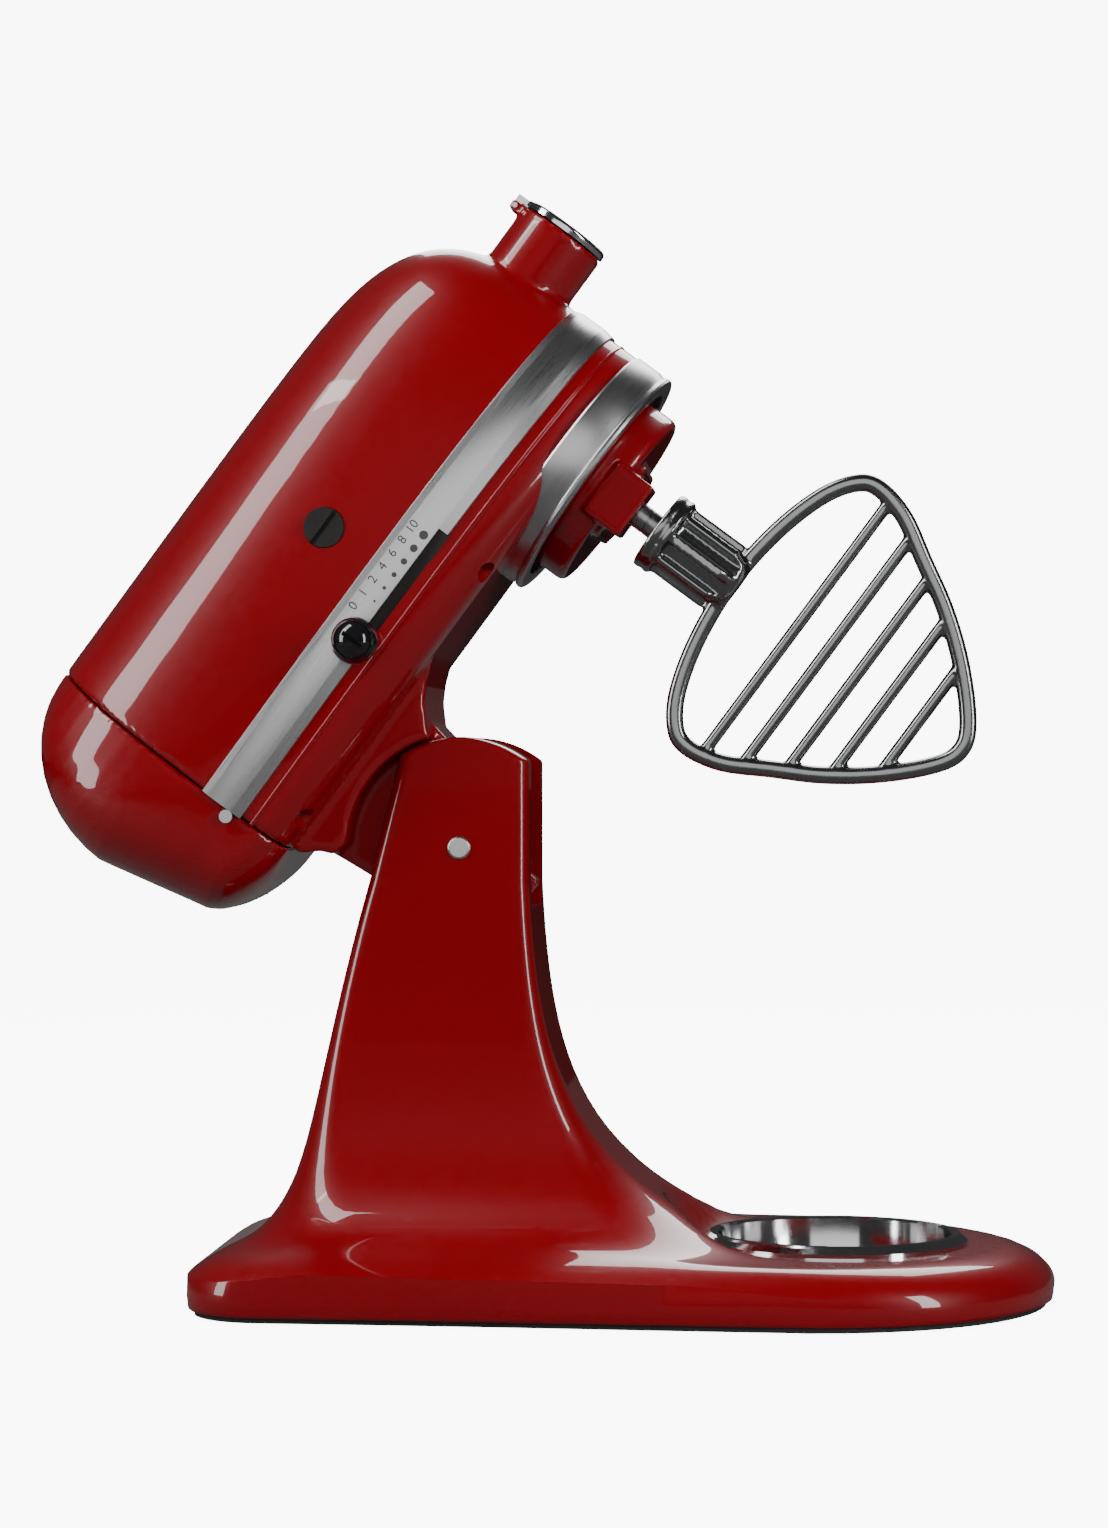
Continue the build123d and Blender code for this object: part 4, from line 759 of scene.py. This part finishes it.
def numeral(text, u, v, size):
    """A raised number on the band, read along it."""
    curve = bpy.data.curves.new(f"numeral_{text}", "FONT")
    curve.body = text
    curve.size = size * MM
    curve.align_x = "CENTER"
    curve.align_y = "CENTER"
    curve.extrude = 0.06 * MM
    holder = bpy.data.objects.new("holder", curve)
    bpy.context.collection.objects.link(holder)
    mesh = bpy.data.meshes.new_from_object(holder.evaluated_get(bpy.context.evaluated_depsgraph_get()))
    bpy.data.objects.remove(holder)
    mesh.transform(mark_frame(u, v, 0.05))
    piece(f"speed_number_{text}", mesh, "matte_black", "head", look="dial_ink")


numbers = ["0", "1", "2", "4", "6", "8", "10"]
for index, text in enumerate(numbers):
    u = 53.0 + 38.4 * index / (len(numbers) - 1)
    numeral(text, u, 87.6, 5.2)
    if index:
        radius = 0.5 + 1.3 * (index - 1) / (len(numbers) - 2)
        frame_there = mark_frame(u, 82.0, 0.05)
        dot = turned([(0.01, -0.1), (radius, -0.1), (radius, 0.08), (0.01, 0.08)],
                     lambda x, y, h, m=frame_there: m @ (Vector((x, y, h)) * MM), 40)
        piece(f"speed_dot_{text}", dot, "matte_black", "head", look="dial_ink")


# ---------------------------------------------------------------- drip ring and planetary
def about_bowl(x, y, h):
    """A point round the bowl's axis, at height h."""
    return head(bowl_u + x, y, h)


drip_profile = [(44.5, 46.4), (44.5, 45.3), (49.2, 44.9), (50.6, 45.0), (51.5, 45.6),
                (51.75, 46.6), (51.5, 47.6), (50.9, 48.2), (50.95, 49.0), (51.6, 51.0),
                (51.6, 61.2), (51.2, 61.9), (50.2, 61.9), (50.0, 47.4)]
ring_frames = [(head(bowl_u, 0, 0), (forward * cos(turn) + sideways * sin(turn)) * MM, upward * MM)
               for turn in (2 * pi * step / 144 for step in range(144))]
piece("drip_ring_rolled", swept(ring_frames, drip_profile), "brushed_steel", "head",
      ("drip_ring",), 25.0, "brushed_ring")


def planetary_mesh():
    """The planetary casting: a drum, a crossing bar and the square boss of the beater's shaft."""
    drum = turned([(0.01, 33.0), (37.5, 33.0), (38.7, 34.0), (39.3, 35.5), (39.3, 48.3), (0.01, 48.3)],
                  about_bowl)
    end_radius, end_reach = 17.0, 21.5
    bar = [(end_radius * cos(radians(turn)), end_reach + end_radius * sin(radians(turn)))
           for turn in range(0, 181, 10)]
    bar += [(-a, -b) for a, b in bar]
    crossing = lofted([[head(bowl_u + a, b, v) for a, b in bar] for v in (30.0, 36.0)])
    boss = box((bowl_u - 12, socket_y - 12, 22.5), (bowl_u + 12, socket_y + 12, 40.0), head)
    nub = turned([(0.01, 29.0), (8.0, 29.0), (10.0, 31.0), (10.0, 36.0), (0.01, 36.0)], about_bowl, 48)
    skin = fused([drum, crossing, boss, nub], 0.8, 12)
    bore = cylinder(head(bowl_u, socket_y, 18.0), head(bowl_u, socket_y, 28.0), 5.1)
    return cut(skin, [bore])


piece("planetary_body", planetary_mesh(), "red_enamel", "planetary", ("planetary_casting",), 50.0)

# ---------------------------------------------------------------- flat beater
beater_u = bowl_u + 1.0
beater_half = 67.0
frame_width = 7.0
frame_depth = 9.0
bar_depth = 7.0
bar_width = 5.0
bar_count = 5
first_bar_v = -54.8
bar_pitch = 15.2
outline_points = [(0.0, -20.0), (0.40, -22.5), (0.74, -29.0), (0.94, -38.0), (1.0, -48.0),
                  (0.95, -64.0), (0.80, -82.0), (0.66, -98.5), (0.49, -114.0), (0.30, -127.5),
                  (0.13, -136.5), (0.0, -139.0)]


def catmull(points, steps):
    """A smooth closed line through points."""
    line = []
    count = len(points)
    for index in range(count):
        p0, p1, p2, p3 = (Vector(points[(index + offset) % count]) for offset in (-1, 0, 1, 2))
        for step in range(steps):
            t = step / steps
            line.append(0.5 * (2 * p1 + (p2 - p0) * t + (2 * p0 - 5 * p1 + 4 * p2 - p3) * t * t
                               + (3 * p1 - p0 - 3 * p2 + p3) * t**3))
    return line


def rounded_section(width, depth, power, count=24):
    """A superellipse section, as wide and deep as given."""
    section = []
    for step in range(count):
        turn = 2 * pi * step / count
        a = abs(cos(turn)) ** (2 / power) * (1 if cos(turn) > 0 else -1)
        b = abs(sin(turn)) ** (2 / power) * (1 if sin(turn) > 0 else -1)
        section.append((a * width / 2, b * depth / 2))
    return section


def about_socket(x, y, h):
    """A point round the beater's axis, at height h."""
    return head(bowl_u + x, socket_y + y, h)


def beater_mesh():
    """The flat beater: a rounded shield frame with five bars below a ribbed socket."""
    right = [(beater_half * a, v) for a, v in outline_points]
    left = [(-a, v) for a, v in reversed(right[1:-1])]
    outline = catmull(right + left, 10)
    frames, middle = [], []
    for index, point in enumerate(outline):
        along = (outline[(index + 1) % len(outline)] - outline[index - 1]).normalized()
        out = Vector((-along.y, along.x))
        centre = point - out * (frame_width / 2)
        middle.append(centre)
        side = (forward * out.x + upward * out.y) * MM
        frames.append((head(beater_u + centre.x, socket_y, centre.y), side, sideways * MM))
    meshes = [swept(frames, rounded_section(frame_width, frame_depth, 3.0))]
    for index in range(bar_count):
        v = first_bar_v - bar_pitch * index
        reach = max(point.x for point, after in zip(middle, middle[1:] + middle[:1])
                    if min(point.y, after.y) <= v <= max(point.y, after.y))
        path = [(head(beater_u + a, socket_y, v), sideways * MM, upward * MM)
                for a in (-reach, 0.0, reach)]
        meshes.append(swept(path, rounded_section(bar_depth, bar_width, 2.4), closed=False))
    neck = [(0.01, -27.0), (9.0, -27.0), (11.5, -24.5), (11.5, 4.0), (12.5, 5.5), (16.2, 5.5),
            (16.8, 6.1), (16.8, 8.0), (16.0, 8.4), (16.0, 9.2), (16.8, 9.6), (16.8, 12.2),
            (16.2, 12.8), (0.01, 12.8)]
    meshes.append(turned(neck, about_socket, 72))
    for step in range(4):
        turn = pi / 4 * step
        corners = [(a * cos(turn) - b * sin(turn), a * sin(turn) + b * cos(turn))
                   for a, b in ((-15.0, -1.9), (15.0, -1.9), (15.0, 1.9), (-15.0, 1.9))]
        shrunk = [(a * 0.80, b * 0.80) for a, b in corners]
        meshes.append(lofted([[about_socket(a, b, v) for a, b in ring]
                              for v, ring in ((-24.0, shrunk), (-19.0, corners), (6.0, corners))]))
    skin = fused(meshes, 0.75, 6)
    bore = cylinder(about_socket(0, 0, -12.0), about_socket(0, 0, 20.0), 5.0, 48)
    key = box((-11.0, -2.4, 6.2), (11.0, 2.4, 20.0), about_socket)
    return cut(skin, [bore, key])


piece("beater_body", beater_mesh(), "polished_casting", "beater", ("flat_beater",), 50.0)
sleeve = [(4.6, 13.2), (5.1, 13.2), (5.3, 13.4), (5.3, 16.6), (5.1, 16.8), (5.1, 17.3), (5.3, 17.5),
          (5.3, 22.2), (5.1, 22.4), (4.6, 22.4)]
piece("shaft_sleeve", turned(sleeve + sleeve[:1], about_socket, 64), slot_of["beater_spring"],
      "beater_drive", ("beater_spring",))


# ---------------------------------------------------------------- speed knob
def about_knob(x, y, h):
    """Round the knob's axis, which runs out of the band: h is the distance outwards."""
    return head(43.0 + x, -75.0 - h, 77.7 + y)


def knob_mesh():
    """The speed knob: a ball with a dished end and a notch for a finger."""
    profile = [(0.01, -9.25)] + [(9.25 * sin(radians(turn)), -9.25 * cos(radians(turn)))
                                 for turn in range(10, 126, 5)]
    profile += [(7.3, 5.7), (7.0, 5.5), (6.7, 5.9), (5.0, 7.6), (2.5, 8.7), (0.01, 9.05)]
    ball = turned(profile, about_knob, 72)
    notch = box((-0.8, -4.6, 7.4), (0.8, 4.6, 12.0), about_knob)
    return cut(ball, [notch])


piece("speed_knob_ball", knob_mesh(), "gloss_black", "speed_control", ("speed_knob",), 40.0)
# A black ring in the foot rubber finish under the base's edge: painted shadow for the dark gap between
# the base and the floor.
piece("base_rim", lofted([[row(column_centre + (ray_to_base(turn) - inset) * cos(turn),
                               (ray_to_base(turn) - inset) * sin(turn), z)
                           for turn in (2 * pi * step / 180 for step in range(180))]
                          for inset, z in ((5.0, 0.9), (3.4, 1.1), (3.4, 3.2))]), "rubber", "base")


# ---------------------------------------------------------------- studio
floor_z = cad_box[0][2]


def camera():
    """A level camera in front of the mixer's side, turned a little towards its front."""
    turn = radians(4.5)
    distance = 1.48
    height = 0.216
    aim = Vector((hinge.x + 0.03467, 0, height))
    data = bpy.data.cameras.new("camera")
    made = bpy.data.objects.new("camera", data)
    bpy.context.collection.objects.link(made)
    made.location = aim + Vector((sin(turn), -cos(turn), 0)) * distance
    made.rotation_euler = (pi / 2, 0, turn)
    data.sensor_width = 36.0
    data.sensor_fit = "VERTICAL"
    data.sensor_height = 36.0
    data.lens = 86.12
    bpy.context.scene.camera = made


def metal_pieces():
    """A collection of every object with a metal finish, for the light that only they mirror."""
    group = bpy.data.collections.new("metal_pieces")
    finishes = {looks[name] for name in metal_looks}
    for thing in bpy.data.objects:
        if thing.type == "MESH" and finishes & set(thing.data.materials):
            group.objects.link(thing)
    return group


def softbox(name, place, aim, width, height, power, seen=True, only=None):
    """A rectangular studio light facing a point: seen in gloss or not, on all or only a group."""
    data = bpy.data.lights.new(name, "AREA")
    data.shape = "RECTANGLE"
    data.size = width
    data.size_y = height
    data.energy = power
    made = bpy.data.objects.new(name, data)
    bpy.context.collection.objects.link(made)
    made.location = place
    made.rotation_euler = (Vector(aim) - Vector(place)).to_track_quat("-Z", "Y").to_euler()
    made.visible_glossy = seen
    made.visible_camera = False
    if only:
        made.light_linking.receiver_collection = only


def pale_floor():
    """A wide pale floor that stays light where the studio lights do not reach."""
    reach = 30.0
    mesh = bpy.data.meshes.new("floor")
    mesh.from_pydata([(-reach, -reach, floor_z), (reach, -reach, floor_z), (reach, reach, floor_z),
                      (-reach, reach, floor_z)], [], [(0, 1, 2, 3)])
    floor = bpy.data.objects.new("floor", mesh)
    bpy.context.collection.objects.link(floor)
    made, tree, shader = material("pale_floor", (0.85, 0.85, 0.85), 0.8)
    shader.inputs["Specular IOR Level"].default_value = 0.0
    path = tree.nodes.new("ShaderNodeLightPath")
    glow = tree.nodes.new("ShaderNodeEmission")
    glow.inputs["Strength"].default_value = 8.8
    both = tree.nodes.new("ShaderNodeAddShader")
    choice = tree.nodes.new("ShaderNodeMixShader")
    output = tree.nodes["Material Output"]
    tree.links.new(shader.outputs[0], both.inputs[0])
    tree.links.new(glow.outputs[0], both.inputs[1])
    tree.links.new(path.outputs["Is Camera Ray"], choice.inputs[0])
    dark = tree.nodes.new("ShaderNodeBsdfDiffuse")
    dark.inputs["Color"].default_value = (0.11, 0.11, 0.11, 1.0)
    tree.links.new(dark.outputs[0], choice.inputs[1])
    tree.links.new(both.outputs[0], choice.inputs[2])
    tree.links.new(choice.outputs[0], output.inputs["Surface"])
    mesh.materials.append(made)


def studio():
    """A pale floor, tall soft lights at both sides, one above, and a fill from the front."""
    pale_floor()
    centre = (0.0, 0.0, 0.25)
    softbox("left_light", (-1.30, -0.68, 0.80), centre, 0.50, 1.5, 17)
    softbox("left_high_light", (-0.74, -0.42, 1.62), centre, 0.45, 0.90, 10)
    softbox("right_light", (1.30, -0.85, 0.50), (0.05, 0.0, 0.2), 0.26, 1.1, 10)
    softbox("back_light", (0.15, 1.25, 1.30), (0.05, 0.0, 0.1), 1.1, 0.9, 18)
    softbox("front_panel", (0.1, -3.2, 0.9), centre, 3.0, 2.2, 24, only=metal_pieces())
    softbox("front_fill", (0.1, -2.6, 0.9), centre, 2.0, 1.4, 26, seen=False)
    softbox("right_fill", (1.6, -1.2, 1.0), centre, 1.0, 1.0, 14, seen=False)
    world = bpy.data.worlds.new("studio")
    bpy.context.scene.world = world
    world.use_nodes = True
    tree = world.node_tree
    background = tree.nodes["Background"]
    path = tree.nodes.new("ShaderNodeLightPath")
    mix = tree.nodes.new("ShaderNodeMix")
    mix.data_type = "RGBA"
    mix.inputs[6].default_value = (0.04, 0.04, 0.04, 1.0)
    mix.inputs[7].default_value = (9.0, 9.0, 9.0, 1.0)
    tree.links.new(path.outputs["Is Camera Ray"], mix.inputs[0])
    tree.links.new(mix.outputs[2], background.inputs["Color"])


camera()
studio()
